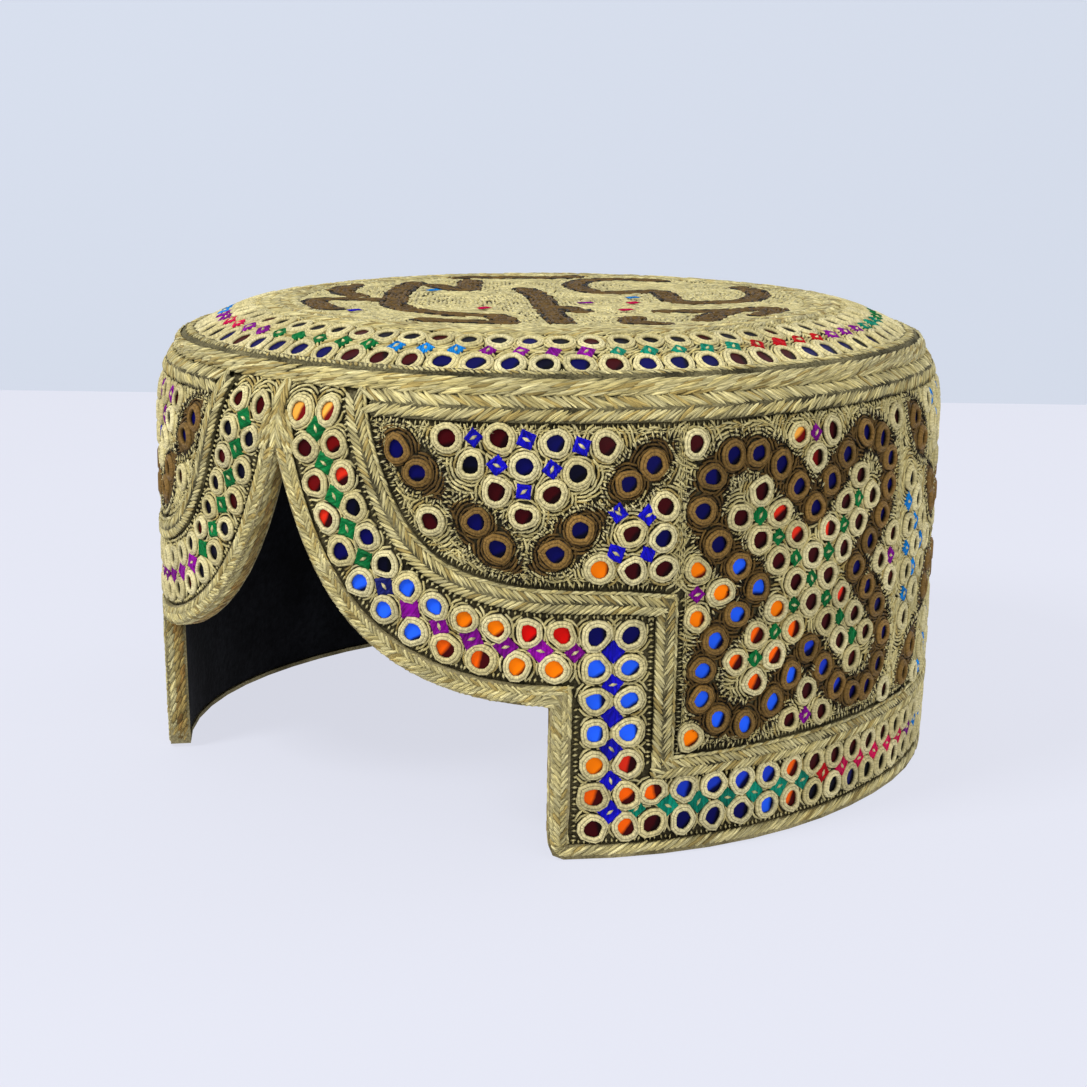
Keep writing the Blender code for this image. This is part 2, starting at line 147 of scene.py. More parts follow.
# The front opening's edge, seen flat, and lines that run beside it
arch = {
    "controls": ((0.0, 83.1), (7.0, 62.7), (15.7, 35.1), (62.2, 33.5)),
    "samples": 400,
    "runOn": 14.0,
    "runSamples": 30,
    "stepAt": 62.2,
    "hemCorner": 3.2,
    "hemRun": 2.5,  # along the hem past the corner, to where the plait ends and the cord goes on
    "meetAtBack": 0.9,  # mirrored braids run this far into each other
}


def archCurve(inset):
    u = np.linspace(0, 1, arch["samples"])[:, None]
    a, b, c, d = (np.array(point) for point in arch["controls"])
    line = (1 - u) ** 3 * a + 3 * (1 - u) ** 2 * u * b + 3 * (1 - u) * u**2 * c + u**3 * d
    way = 3 * (1 - u) ** 2 * (b - a) + 6 * (1 - u) * u * (c - b) + 3 * u**2 * (d - c)
    way /= np.linalg.norm(way, axis=1)[:, None]
    more = arch["runSamples"]
    run = np.linspace(0, arch["runOn"], more + 1)[1:, None]
    line = np.vstack([line[0] - run[::-1] * way[0], line, line[-1] + run * way[-1]])
    way = np.vstack([np.repeat(way[:1], more, 0), way, np.repeat(way[-1:], more, 0)])
    line = line + np.stack([-way[:, 1], way[:, 0]], axis=1) * inset
    length = np.concatenate([[0], np.cumsum(np.hypot(*np.diff(line, axis=0).T))]) - arch["runOn"]
    return line, length


def alongArch(inset, wanted):
    line, length = archCurve(inset)
    return np.stack([np.interp(wanted, length, line[:, 0]), np.interp(wanted, length, line[:, 1])], axis=1)


def archLengthAt(inset, side=None, z=None):
    line, length = archCurve(inset)
    if side is not None:
        return np.interp(side, line[:, 0], length)
    return np.interp(-z, -line[:, 1], length)


def evenPath(points, step=0.4):
    points = np.array(points, float)
    length = np.concatenate([[0], np.cumsum(np.hypot(*np.diff(points, axis=0).T))])
    steps = np.linspace(0, length[-1], max(int(length[-1] / step), 2))
    path = np.stack([np.interp(steps, length, points[:, k]) for k in (0, 1)], axis=1)
    way = np.gradient(path, axis=0)
    way /= np.hypot(*way.T)[:, None]
    return {"points": path, "ways": way, "length": steps}


def smoothWays(path, reach):
    # Rounds the turn at a corner so that what follows the path fans round it
    way = path["ways"].copy()
    for _ in range(reach):
        way[1:-1] = (way[:-2] + 2 * way[1:-1] + way[2:]) / 4
    path["ways"] = way / np.hypot(*way.T)[:, None]
    return path


def atLength(path, wanted):
    place = [np.interp(wanted, path["length"], path["points"][:, k]) for k in (0, 1)]
    way = [np.interp(wanted, path["length"], path["ways"][:, k]) for k in (0, 1)]
    return place[0], place[1], np.arctan2(way[1], way[0])


def beside(path, wanted, shift, spread=1.0):
    a, b, turn = atLength(path, wanted)
    return a - np.sin(turn) * shift * spread, b + np.cos(turn) * shift, turn


def gapToLine(a, b, line, chunk=4000):
    # Distance from each place to the nearest point of a line
    gap = np.empty(len(a))
    for start in range(0, len(a), chunk):
        part = slice(start, start + chunk)
        away = np.hypot(a[part, None] - line["points"][:, 0], b[part, None] - line["points"][:, 1])
        gap[part] = away.min(axis=1)
    return gap


stepTop = float(archLengthAt(0, side=arch["stepAt"]))
hemStart = stepTop + arch["controls"][3][1] + arch["hemRun"]
backEnd = halfGirth + arch["meetAtBack"]


def makeEdgePath():
    points = list(alongArch(0, np.linspace(0, stepTop, 120)))
    corner = arch["hemCorner"]
    points.append((arch["stepAt"], corner))
    for turn in np.linspace(0, math.pi / 2, 7)[1:]:
        points.append((arch["stepAt"] + corner * (1 - math.cos(turn)), corner * (1 - math.sin(turn))))
    points.append((backEnd, 0.0))
    return smoothWays(evenPath(points), 3)


edge = makeEdgePath()
frameBraid = {"inset": 22.3, "side": 86.2, "level": 54.2, "hem": 19.2, "top": 95.6}


def makeFramePath():
    start = archLengthAt(frameBraid["inset"], z=frameBraid["top"])
    level = archLengthAt(frameBraid["inset"], z=frameBraid["level"])
    points = list(alongArch(frameBraid["inset"], np.linspace(start, level, 60)))
    points += [(frameBraid["side"], frameBraid["level"]), (frameBraid["side"], frameBraid["hem"])]
    points.append((backEnd, frameBraid["hem"]))
    return smoothWays(evenPath(points), 2)


framePath = makeFramePath()
print("surfaces ready, girth", round(2 * halfGirth, 1), "mm")

# Small shapes, each modelled once at 1 unit to the mm, then copied over the cloth
unitShapes = {
    # radius, height, and how far that thread stands out of its painted shade
    "ring": (
        (1.88, 0.15, 0.0), (1.94, 0.98, 0.62), (2.2, 1.24, 1.0), (2.52, 1.1, 0.9),
        (2.68, 0.86, 0.16), (2.9, 1.04, 0.9), (3.2, 0.74, 0.62), (3.42, 0.1, 0.0),
    ),
    "ringSides": 12,
    "strand": ((0.18, -0.5), (0.46, -0.26), (0.48, 0.22), (0.16, 0.5)),
    "strandSides": 5,
    "stitch": ((0.001, -0.5), (0.5, 0.0), (0.001, 0.5)),
    "stitchSides": 3,
    "thread": ((0.36, -0.5), (0.5, 0.0), (0.36, 0.5)),
    "foilSides": 10,
    "starReach": (1.0, 0.7),
    "uvShare": 0.29,  # of the picture square, for one mm of a flat shape
}


def deselectAll():
    if bpy.context.mode != "OBJECT":
        bpy.ops.object.mode_set(mode="OBJECT")
    bpy.ops.object.select_all(action="DESELECT")


def closeShape(merge=None):
    bpy.ops.mesh.select_all(action="SELECT")
    if merge:
        bpy.ops.mesh.remove_doubles(threshold=merge)
    bpy.ops.mesh.normals_make_consistent(inside=False)
    bpy.ops.object.mode_set(mode="OBJECT")
    return bpy.context.active_object


def growProfile(profile, sides, close):
    # A ring of edges is extruded from one profile point to the next
    deselectAll()
    bpy.ops.mesh.primitive_circle_add(vertices=sides, radius=profile[0][0], location=(0, 0, profile[0][1]))
    bpy.ops.object.transform_apply(location=True)
    bpy.ops.object.mode_set(mode="EDIT")
    bpy.ops.mesh.select_all(action="SELECT")
    if not close:
        bpy.ops.mesh.edge_face_add()
        bpy.ops.mesh.select_all(action="SELECT")
    steps = list(profile) + ([profile[0]] if close else [])
    for here, after in zip(steps, steps[1:]):
        bpy.ops.mesh.extrude_region_move(TRANSFORM_OT_translate={"value": (0, 0, after[1] - here[1])})
        bpy.ops.transform.resize(value=(after[0] / here[0], after[0] / here[0], 1))
    return closeShape(merge=0.002)


def flatUv(p):
    return p[:, :2] * unitShapes["uvShare"] + 0.5


def roundUv(p, q, along):
    return np.stack([np.arctan2(q, p) / (2 * math.pi) + 0.5, along], 1)


def takeUnit(shape, uvOf, riseOf, flat=False):
    # Reads the modelled shape into arrays and removes it; the rise, 0 low down and 1 on top, sets where the
    # material paints shade
    mesh = shape.data
    points = np.array([vertex.co[:] for vertex in mesh.vertices])
    faces = [list(face.vertices) for face in mesh.polygons]
    bpy.data.objects.remove(shape)
    uv = uvOf(points)
    corners = []
    for face in faces:
        part = uv[face].copy()
        if part[:, 0].max() - part[:, 0].min() > 0.6:
            part[part[:, 0] < 0.4, 0] += 1
        corners.append(part)
    return {
        "points": points,
        "loops": np.concatenate([np.array(face) for face in faces]),
        "sizes": np.array([len(face) for face in faces]),
        "uv": np.vstack(corners),
        "rise": riseOf(points),
        "flat": flat,
    }


def makeRingUnit():
    radius, _, stand = np.array(unitShapes["ring"]).T
    return takeUnit(
        growProfile(unitShapes["ring"], unitShapes["ringSides"], True),
        lambda p: roundUv(p[:, 0], p[:, 1], np.hypot(p[:, 0], p[:, 1]) / 3.6),
        lambda p: np.interp(np.hypot(p[:, 0], p[:, 1]), radius, stand),
    )


def makeStrandUnit(profile, sides, base):
    # The profile grows along Z, so the shape is then laid along X
    shape = growProfile(profile, sides, False)
    for vertex in shape.data.vertices:
        vertex.co = (vertex.co.z, vertex.co.x, vertex.co.y)
    # The rise that sets painted shade is lowest under the strand
    return takeUnit(
        shape,
        lambda p: roundUv(p[:, 1], p[:, 2], p[:, 0] + 0.5),
        lambda p: np.clip(base + 1.2 * p[:, 2], 0, 1),
    )


def makeFoilUnit():
    deselectAll()
    bpy.ops.mesh.primitive_circle_add(vertices=unitShapes["foilSides"], radius=1, fill_type="NGON")
    bpy.ops.object.mode_set(mode="EDIT")
    bpy.ops.mesh.select_all(action="SELECT")
    bpy.ops.mesh.extrude_region_move(TRANSFORM_OT_translate={"value": (0, 0, 0.3)})
    return takeUnit(closeShape(), flatUv, lambda p: np.ones(len(p)), True)


def makeStarUnit():
    # Four points that reach between four rings, with a raised silk rim and a sunk eye
    deselectAll()
    bpy.ops.mesh.primitive_circle_add(vertices=8, radius=1, fill_type="NGON")
    for k, vertex in enumerate(bpy.context.active_object.data.vertices):
        vertex.co *= unitShapes["starReach"][k % 2]
    bpy.ops.object.mode_set(mode="EDIT")
    bpy.ops.mesh.select_all(action="SELECT")
    bpy.ops.mesh.extrude_region_move(TRANSFORM_OT_translate={"value": (0, 0, 0.5)})
    bpy.ops.mesh.inset(thickness=0.2, depth=0.35)
    bpy.ops.mesh.inset(thickness=0.14, depth=-0.25)
    return takeUnit(closeShape(), flatUv, lambda p: np.clip(p[:, 2] / 0.7, 0, 1), True)


ringUnit = makeRingUnit()
strandUnit = makeStrandUnit(unitShapes["strand"], unitShapes["strandSides"], 0.42)
stitchUnit = makeStrandUnit(unitShapes["stitch"], unitShapes["stitchSides"], 0.4)
threadUnit = makeStrandUnit(unitShapes["thread"], unitShapes["stitchSides"], 0.4)
foilUnit = makeFoilUnit()
starUnit = makeStarUnit()
print("small shapes modelled")


# Colours of the threads and foils, as seen: the thread colours are their own, while the foils' lit and dark
# colours are painted light and painted shade
def linearColour(r, g, b):
    share = np.array([r, g, b]) / 255
    return np.where(share <= 0.04045, share / 12.92, ((share + 0.055) / 1.055) ** 2.4)


threadDyes = {
    "gold": linearColour(206, 190, 124),
    "goldPale": linearColour(226, 214, 156),
    "goldDeep": linearColour(182, 160, 94),
    "lip": linearColour(208, 194, 136),
    "lipPale": linearColour(227, 215, 162),
    "brown": linearColour(118, 90, 41),
    "brownPale": linearColour(142, 108, 52),
    "brownDeep": linearColour(92, 69, 30),
    "dark": linearColour(34, 26, 12),
}
silkDyes = {
    "G": linearColour(0, 112, 54),
    "T": linearColour(0, 130, 104),
    "U": linearColour(16, 8, 186),
    "V": linearColour(18, 26, 96),
    "P": linearColour(134, 0, 144),
    "C": linearColour(208, 4, 78),
    "R": linearColour(186, 8, 22),
    "Y": linearColour(6, 134, 220),
}
# Each foil: its colour with painted light, its painted shade colour, and how far the painted shade reaches
# across it. There are two foils, red and blue: the dark letters (N, K, M, D) and the bright letters are these
# two with painted shade and painted reflections of light
foilKinds = {
    "N": (linearColour(6, 6, 78), linearColour(3, 3, 24), 0.45),
    "K": (linearColour(6, 6, 28), linearColour(3, 3, 8), 0.2),
    "M": (linearColour(58, 3, 8), linearColour(22, 2, 4), 0.35),
    "D": (linearColour(104, 5, 6), linearColour(24, 3, 3), 0.3),
    "R": (linearColour(220, 12, 6), linearColour(60, 4, 4), 0.52),
    "r": (linearColour(228, 46, 24), linearColour(44, 4, 8), 0.0),
    "B": (linearColour(36, 98, 255), linearColour(4, 8, 56), 0.54),
    "b": (linearColour(26, 56, 190), linearColour(4, 6, 48), 0.25),
    "O": (linearColour(255, 126, 0), linearColour(90, 12, 6), 0.56),
    "h": (linearColour(255, 98, 4), linearColour(62, 6, 8), 0.05),
    "L": (linearColour(255, 176, 70), linearColour(110, 12, 14), -0.05),
}


def newBundle():
    return {"points": [], "loops": [], "sizes": [], "uv": [], "flat": [], "count": 0, "values": {}}


def addCopies(bundle, unit, surface, a, b, lift=0.0, turn=0.0, size=(1, 1, 1), spread=1.0, values=None,
              squeeze=None, bend=None):
    # Lays one copy of the unit at each place; size is along, across and up, in mm
    a = np.atleast_1d(np.asarray(a, float))
    n, m = len(a), len(unit["points"])

    def column(value):
        return np.broadcast_to(np.asarray(value, float), (n,))[:, None]

    u, v, h = unit["points"].T
    along, across = u[None] * column(size[0]), v[None] * column(size[1])
    if squeeze is not None:
        theta = np.arctan2(v, u)[None]
        wobble = 1 + sum(
            amount[:, None] * np.cos(waves * theta + phase[:, None]) for waves, amount, phase in squeeze
        )
        along, across = along * wobble, across * wobble
    if bend is not None:
        across = across + 0.5 * column(bend) * along**2
    cos, sin = np.cos(column(turn)), np.sin(column(turn))
    flatA = a[:, None] + (along * cos - across * sin) * column(spread)
    flatB = column(b) + along * sin + across * cos
    height = column(lift) + h[None] * column(size[2])
    bundle["points"].append(surface(flatA, flatB, height).reshape(-1, 3))
    offsets = bundle["count"] + np.arange(n)[:, None] * m
    bundle["loops"].append((unit["loops"][None] + offsets).ravel())
    bundle["sizes"].append(np.tile(unit["sizes"], n))
    bundle["flat"].append(np.full(len(unit["sizes"]) * n, unit["flat"]))
    bundle["uv"].append(np.tile(unit["uv"], (n, 1)))
    made = {"rise": np.tile(unit["rise"], n), "tone": np.repeat(rng.random(n), m)}
    for key, value in (values or {}).items():
        made[key] = np.repeat(np.broadcast_to(np.asarray(value, float), (n, 3)), m, axis=0)
    for key, value in made.items():
        bundle["values"].setdefault(key, []).append(value)
    bundle["count"] += n * m


def addMirrored(bundle):
    # The same again on the other side of the middle, with its faces turned back out
    points = np.vstack(bundle["points"]) * np.array([-1, 1, 1])
    loops = np.concatenate(bundle["loops"])
    sizes = np.concatenate(bundle["sizes"])
    ends = np.cumsum(sizes)
    order = np.repeat(ends + ends - sizes - 1, sizes) - np.arange(len(loops))
    bundle["points"].append(points)
    bundle["loops"].append(loops[order] + bundle["count"])
    bundle["sizes"].append(sizes)
    bundle["flat"].append(np.concatenate(bundle["flat"]))
    bundle["uv"].append(np.vstack(bundle["uv"])[order])
    for value in bundle["values"].values():
        value.append(np.concatenate(value))
    bundle["count"] *= 2


def finishBundle(bundle, name, material):
    mesh = bpy.data.meshes.new(name)
    points, loops = np.vstack(bundle["points"]), np.concatenate(bundle["loops"])
    sizes = np.concatenate(bundle["sizes"])
    mesh.vertices.add(len(points))
    mesh.vertices.foreach_set("co", points.astype(np.float32).ravel())
    mesh.loops.add(len(loops))
    mesh.loops.foreach_set("vertex_index", loops.astype(np.int32))
    mesh.polygons.add(len(sizes))
    mesh.polygons.foreach_set("loop_start", np.concatenate([[0], np.cumsum(sizes)[:-1]]).astype(np.int32))
    mesh.update(calc_edges=True)
    layer = mesh.uv_layers.new(name="UVMap")
    layer.uv.foreach_set("vector", np.vstack(bundle["uv"]).astype(np.float32).ravel())
    for key, parts in bundle["values"].items():
        value = np.concatenate(parts).astype(np.float32)
        if value.ndim == 1:
            mesh.attributes.new(key, "FLOAT", "POINT").data.foreach_set("value", value)
        else:
            full = np.concatenate([value, np.ones((len(value), 1), np.float32)], axis=1)
            mesh.attributes.new(key, "FLOAT_COLOR", "POINT").data.foreach_set("color", full.ravel())
    mesh.shade_smooth()
    mesh.polygons.foreach_set("use_smooth", ~np.concatenate(bundle["flat"]))
    piece = bpy.data.objects.new(name, mesh)
    bpy.context.collection.objects.link(piece)
    mesh.materials.append(material)
    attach(piece, "root")
    print(name, int((sizes - 2).sum()), "triangles")
    return piece


# Shader groups shared by the materials: each puts out a colour, a roughness and a normal
def newGroup(name, inputs):
    group = bpy.data.node_groups.new(name, "ShaderNodeTree")
    for word, value in inputs.items():
        kind = "NodeSocketFloat" if isinstance(value, float) else "NodeSocketColor"
        group.interface.new_socket(word, in_out="INPUT", socket_type=kind).default_value = value
    for word, kind in (("Color", "Color"), ("Roughness", "Float"), ("Normal", "Vector")):
        group.interface.new_socket(word, in_out="OUTPUT", socket_type="NodeSocket" + kind)
    return group, group.nodes.new("NodeGroupInput"), group.nodes.new("NodeGroupOutput")


def addNode(tree, kind, links=None, values=None, **settings):
    node = tree.nodes.new(kind)
    for key, value in settings.items():
        setattr(node, key, value)
    for socket, value in (values or {}).items():
        node.inputs[socket].default_value = value
    for socket, source in (links or {}).items():
        tree.links.new(source, node.inputs[socket])
    return node


def mapRange(tree, source, low, high, fromLow=0.0, fromHigh=1.0, **settings):
    values = {1: fromLow, 2: fromHigh, 3: low, 4: high}
    return addNode(tree, "ShaderNodeMapRange", {0: source}, values, clamp=True, **settings)


def mathNode(tree, operation, one, two):
    links, values = {}, {}
    for k, source in enumerate((one, two)):
        (values if isinstance(source, (int, float)) else links)[k] = source
    return addNode(tree, "ShaderNodeMath", links, values, operation=operation)


def noiseNode(tree, where, scale, detail=2.0):
    return addNode(tree, "ShaderNodeTexNoise", {"Vector": where}, {"Scale": scale, "Detail": detail})


def scaled(tree, colour, amount):
    return addNode(tree, "ShaderNodeVectorMath", {0: colour, 3: amount}, operation="SCALE").outputs[0]


def blended(tree, mask, one, two):
    return addNode(tree, "ShaderNodeMix", {0: mask, 6: one, 7: two}, data_type="RGBA").outputs[2]


def makeThreadGroup():
    # Spun thread: fine fibres along the stitch, with painted shade where it dives into the cloth
    group, given, out = newGroup("threadLook", {
        "Fibres": 7.0, "Contrast": 0.4, "Relief": 0.3,
        "PaintedCreviceShade": (0.02, 0.016, 0.006, 1), "Depth": 0.5, "Spread": 0.4,
    })
    where = addNode(group, "ShaderNodeTexCoord")
    split = addNode(group, "ShaderNodeSeparateXYZ", {0: where.outputs["UV"]})
    tone = addNode(group, "ShaderNodeAttribute", attribute_name="tone").outputs["Fac"]
    around = mathNode(group, "MULTIPLY", split.outputs[0], given.outputs["Fibres"])
    drift = mathNode(group, "MULTIPLY", tone, 37.0)
    place = addNode(
        group, "ShaderNodeCombineXYZ", {0: around.outputs[0], 1: split.outputs[1], 2: drift.outputs[0]}
    )
    fibre = noiseNode(group, place.outputs[0], 2.2)
    sharp = mapRange(group, fibre.outputs["Fac"], 0.0, 1.0, 0.32, 0.62).outputs[0]
    patch = noiseNode(group, where.outputs["Object"], 55.0)
    patchy = mapRange(group, patch.outputs["Fac"], 0.88, 1.1, 0.3, 0.7).outputs[0]
    base = addNode(group, "ShaderNodeAttribute", attribute_name="linearColour").outputs["Color"]
    # Each strand is a little lighter or darker than the next
    centred = mathNode(group, "SUBTRACT", tone, 0.55)
    swing = mathNode(group, "MULTIPLY", centred.outputs[0], given.outputs["Spread"])
    lightness = mathNode(group, "ADD", swing.outputs[0], 1.0)
    shade = mathNode(group, "MULTIPLY", lightness.outputs[0], patchy)
    held = mathNode(group, "SUBTRACT", 1.0, given.outputs["Contrast"])
    lined = addNode(group, "ShaderNodeMapRange", {0: sharp, 3: held.outputs[0]}, {1: 0.0, 2: 1.0, 4: 1.0})
    both = mathNode(group, "MULTIPLY", shade.outputs[0], lined.outputs[0])
    # Painted shade: low down on each shape, by its rise, the colour turns to the crevice shade colour
    rise = addNode(group, "ShaderNodeAttribute", attribute_name="rise").outputs["Fac"]
    clear = addNode(
        group, "ShaderNodeMapRange", {0: rise, 2: given.outputs["Depth"]}, {1: 0.05, 3: 0.0, 4: 1.0},
        clamp=True, interpolation_type="SMOOTHSTEP",
    )
    colour = blended(group, clear.outputs[0], given.outputs["PaintedCreviceShade"], scaled(group, base, both.outputs[0]))
    rough = mapRange(group, sharp, 0.78, 0.52)
    bump = addNode(
        group, "ShaderNodeBump", {"Height": sharp, "Strength": given.outputs["Relief"]}, {"Distance": 0.00018}
    )
    group.links.new(colour, out.inputs["Color"])
    group.links.new(rough.outputs[0], out.inputs["Roughness"])
    group.links.new(bump.outputs[0], out.inputs["Normal"])
    return group


def makeClothGroup():
    # Cloth under the stitches: crossing threads at a fine scale, mottled
    group, given, out = newGroup("clothLook", {
        "Light": (0.12, 0.1, 0.045, 1), "Dark": (0.012, 0.01, 0.004, 1),
        "Threads": 900.0, "Relief": 0.5, "Cover": 0.42,
    })
    where = addNode(group, "ShaderNodeTexCoord").outputs["Object"]
    weave = addNode(
        group, "ShaderNodeTexNoise", {"Vector": where, "Scale": given.outputs["Threads"]},
        {"Detail": 3.0, "Roughness": 0.65},
    ).outputs["Fac"]
    mottle = noiseNode(group, where, 90.0).outputs["Fac"]
    both = mathNode(group, "MULTIPLY", weave, mottle)
    mask = addNode(
        group, "ShaderNodeMapRange", {0: both.outputs[0], 2: given.outputs["Cover"]},
        {1: 0.14, 3: 0.0, 4: 1.0}, clamp=True,
    ).outputs[0]
    rough = mapRange(group, mask, 0.95, 0.75)
    bump = addNode(
        group, "ShaderNodeBump", {"Height": weave, "Strength": given.outputs["Relief"]}, {"Distance": 0.0004}
    )
    group.links.new(blended(group, mask, given.outputs["Dark"], given.outputs["Light"]), out.inputs["Color"])
    group.links.new(rough.outputs[0], out.inputs["Roughness"])
    group.links.new(bump.outputs[0], out.inputs["Normal"])
    return group


threadGroup = makeThreadGroup()
clothGroup = makeClothGroup()


def newMaterial(name):
    material = bpy.data.materials.new(name)
    material.use_nodes = True
    return material, material.node_tree, material.node_tree.nodes["Principled BSDF"]


def materialWith(name, group, given, sheen=0.0, specular=0.16):
    material, tree, shader = newMaterial(name)
    look = addNode(tree, "ShaderNodeGroup", node_tree=group)
    for socket, value in given.items():
        look.inputs[socket].default_value = value
    for word, socket in (("Color", "Base Color"), ("Roughness", "Roughness"), ("Normal", "Normal")):
        tree.links.new(look.outputs[word], shader.inputs[socket])
    shader.inputs["Sheen Weight"].default_value = sheen
    shader.inputs["Specular IOR Level"].default_value = specular
    return material


def makeFoilMaterial():
    # Coloured foil behind a recess, with painted light on one side and painted shade where the ring would
    # shade it
    material, tree, shader = newMaterial("foilMirror")
    where = addNode(tree, "ShaderNodeTexCoord")
    centred = addNode(
        tree, "ShaderNodeVectorMath", {0: where.outputs["UV"]}, {1: (0.5, 0.5, 0)}, operation="SUBTRACT"
    )
    aim = addNode(tree, "ShaderNodeAttribute", attribute_name="foilShadeAim")
    split = addNode(tree, "ShaderNodeSeparateXYZ", {0: aim.outputs["Vector"]})
    side = addNode(tree, "ShaderNodeCombineXYZ", {0: split.outputs[0], 1: split.outputs[1]})
    reach = addNode(
        tree, "ShaderNodeVectorMath", {0: centred.outputs[0], 1: side.outputs[0]}, operation="DOT_PRODUCT"
    )
    ripple = noiseNode(tree, where.outputs["Object"], 420.0, 1.0)
    wavy = mathNode(tree, "MULTIPLY", ripple.outputs["Fac"], 0.1)
    shifted = mathNode(tree, "ADD", reach.outputs["Value"], wavy.outputs[0])
    edgeAt = mathNode(tree, "SUBTRACT", shifted.outputs[0], split.outputs[2])
    mask = mapRange(tree, edgeAt.outputs[0], 0.0, 1.0, 0.01, 0.11)
    lit = addNode(tree, "ShaderNodeAttribute", attribute_name="foilPaintedLit")
    dark = addNode(tree, "ShaderNodeAttribute", attribute_name="foilPaintedShade")
    colour = blended(tree, mask.outputs[0], lit.outputs["Color"], dark.outputs["Color"])
    tree.links.new(colour, shader.inputs["Base Color"])
    rough = mapRange(tree, ripple.outputs["Fac"], 0.3, 0.45, 0.3, 0.7)
    tree.links.new(rough.outputs[0], shader.inputs["Roughness"])
    shader.inputs["Metallic"].default_value = 0.1
    shader.inputs["Specular IOR Level"].default_value = 0.06
    return material


goldMaterial = materialWith(
    "goldThread", threadGroup, {"Fibres": 7.0, "Contrast": 0.4, "Relief": 0.45, "Depth": 0.6}, sheen=0.03
)
braidMaterial = materialWith(
    "braidThread", threadGroup,
    {"Fibres": 7.0, "Contrast": 0.58, "Relief": 0.6, "Depth": 0.86, "Spread": 0.62},
    sheen=0.03,
)
ringMaterial = materialWith(
    "ringThread", threadGroup,
    {"Fibres": 20.0, "Contrast": 0.4, "Relief": 0.5, "Depth": 0.55, "Spread": 0.2}, sheen=0.03,
)
silkMaterial = materialWith(
    "silkThread", threadGroup,
    {"Fibres": 9.0, "Contrast": 0.6, "Relief": 0.3, "Depth": 0.3, "PaintedCreviceShade": (0.006, 0.006, 0.012, 1)},
    specular=0.1,
)
# The ground cloth takes the cloth look's default colours: its dark is the cloth's own colour and also painted
# shade in the gaps between the stitches
groundMaterial = materialWith("groundCloth", clothGroup, {"Threads": 1500.0, "Relief": 0.6})
tapeMaterial = materialWith(
    "tapeCloth", clothGroup,
    {"Light": (0.22, 0.19, 0.09, 1), "Dark": (0.02, 0.017, 0.007, 1), "Threads": 1800.0, "Relief": 0.6},
)
bindingMaterial = materialWith(
    "bindingCloth", clothGroup,
    {"Light": (0.4, 0.34, 0.17, 1), "Dark": (0.1, 0.082, 0.035, 1), "Threads": 1800.0, "Relief": 0.6},
)
velvetMaterial = materialWith(
    "blackVelvet", clothGroup,
    {
        "Light": (0.004, 0.0045, 0.006, 1), "Dark": (0.0008, 0.0009, 0.0013, 1),
        "Threads": 620.0, "Relief": 0.6,
    },
    sheen=0.015, specular=0.08,
)
foilMaterial = makeFoilMaterial()
print("materials ready")

# CAD nodes that stay, with a finish of their own under the stitches
for nodeName in ("side_band", "crown_shoulder", "crown_top"):
    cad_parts[nodeName].data.materials[0] = groundMaterial
for nodeName in ("crown_welt", "upper_braid", "frame_braid", "top_braid"):
    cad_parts[nodeName].data.materials[0] = tapeMaterial
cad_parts["edge_binding"].data.materials[0] = bindingMaterial

# Black lining: a smooth sheet inside the wall, and a dish under the crown
lining = {
    "depth": 2.5,
    "thickness": 1.0,
    "edgeInset": 1.3,
    "top": 99.0,
    "columns": 240,
    "rows": 16,
    "crownInsets": (6.2, 9.0, 14.0, 20.0, 25.3, 30.0, 45.0, 65.0),
}


def edgeHeight(s, inset):
    # Lowest cloth at a distance round the wall, inset from the bound edge
    line, _ = archCurve(inset)
    keep = line[:, 0] >= 0
    apex = np.interp(0, line[:, 0], line[:, 1])
    acrossArch = np.concatenate([[0], line[keep, 0]])
    arched = np.interp(np.abs(s), acrossArch, np.concatenate([[apex], line[keep, 1]]))
    return np.where(np.abs(s) < arch["stepAt"] + inset, arched, inset)


def placeVertices(piece, placed):
    # The flat sheet takes its place on the cap, and its doubles and normals are put right
    piece.data.vertices.foreach_set("co", placed.astype(np.float32).ravel())
    bpy.ops.object.mode_set(mode="EDIT")
    return closeShape(merge=0.000002)


def makeLiningWall():
    step = arch["stepAt"] + lining["edgeInset"]
    stations = list(np.linspace(-halfGirth, halfGirth, lining["columns"] + 1))
    stations += [side * (step + nudge) for side in (-1, 1) for nudge in (-0.01, 0.01)]
    stations = np.array(sorted(stations))
    low = edgeHeight(stations, lining["edgeInset"])
    deselectAll()
    bpy.ops.mesh.primitive_grid_add(x_subdivisions=len(stations) - 1, y_subdivisions=lining["rows"], size=2)
    sheet = bpy.context.active_object
    points = np.array([vertex.co[:] for vertex in sheet.data.vertices])
    column = np.round((points[:, 0] + 1) / 2 * (len(stations) - 1)).astype(int)
    share = ((points[:, 1] + 1) / 2) ** 0.7
    z = low[column] + share * (lining["top"] - low[column])
    return placeVertices(sheet, wallSurface(stations[column], z, -lining["depth"] + 0 * z))


def makeLiningCrown():
    deselectAll()
    bpy.ops.mesh.primitive_circle_add(vertices=160, radius=1, fill_type="NOTHING")
    dish = bpy.context.active_object
    bpy.ops.object.mode_set(mode="EDIT")
    bpy.ops.mesh.select_all(action="SELECT")
    for _ in lining["crownInsets"][1:]:
        bpy.ops.mesh.extrude_region_move(TRANSFORM_OT_translate={"value": (0, 0, 1)})
    bpy.ops.mesh.edge_face_add()
    bpy.ops.object.mode_set(mode="OBJECT")
    points = np.array([vertex.co[:] for vertex in dish.data.vertices])
    ring = np.round(points[:, 2]).astype(int)
    around = np.arctan2(points[:, 0], -points[:, 1]) / math.pi * halfGirth
    inset = np.array(lining["crownInsets"])[ring]
    return placeVertices(dish, crownSurface(around, inset, -lining["depth"] + 0 * inset))


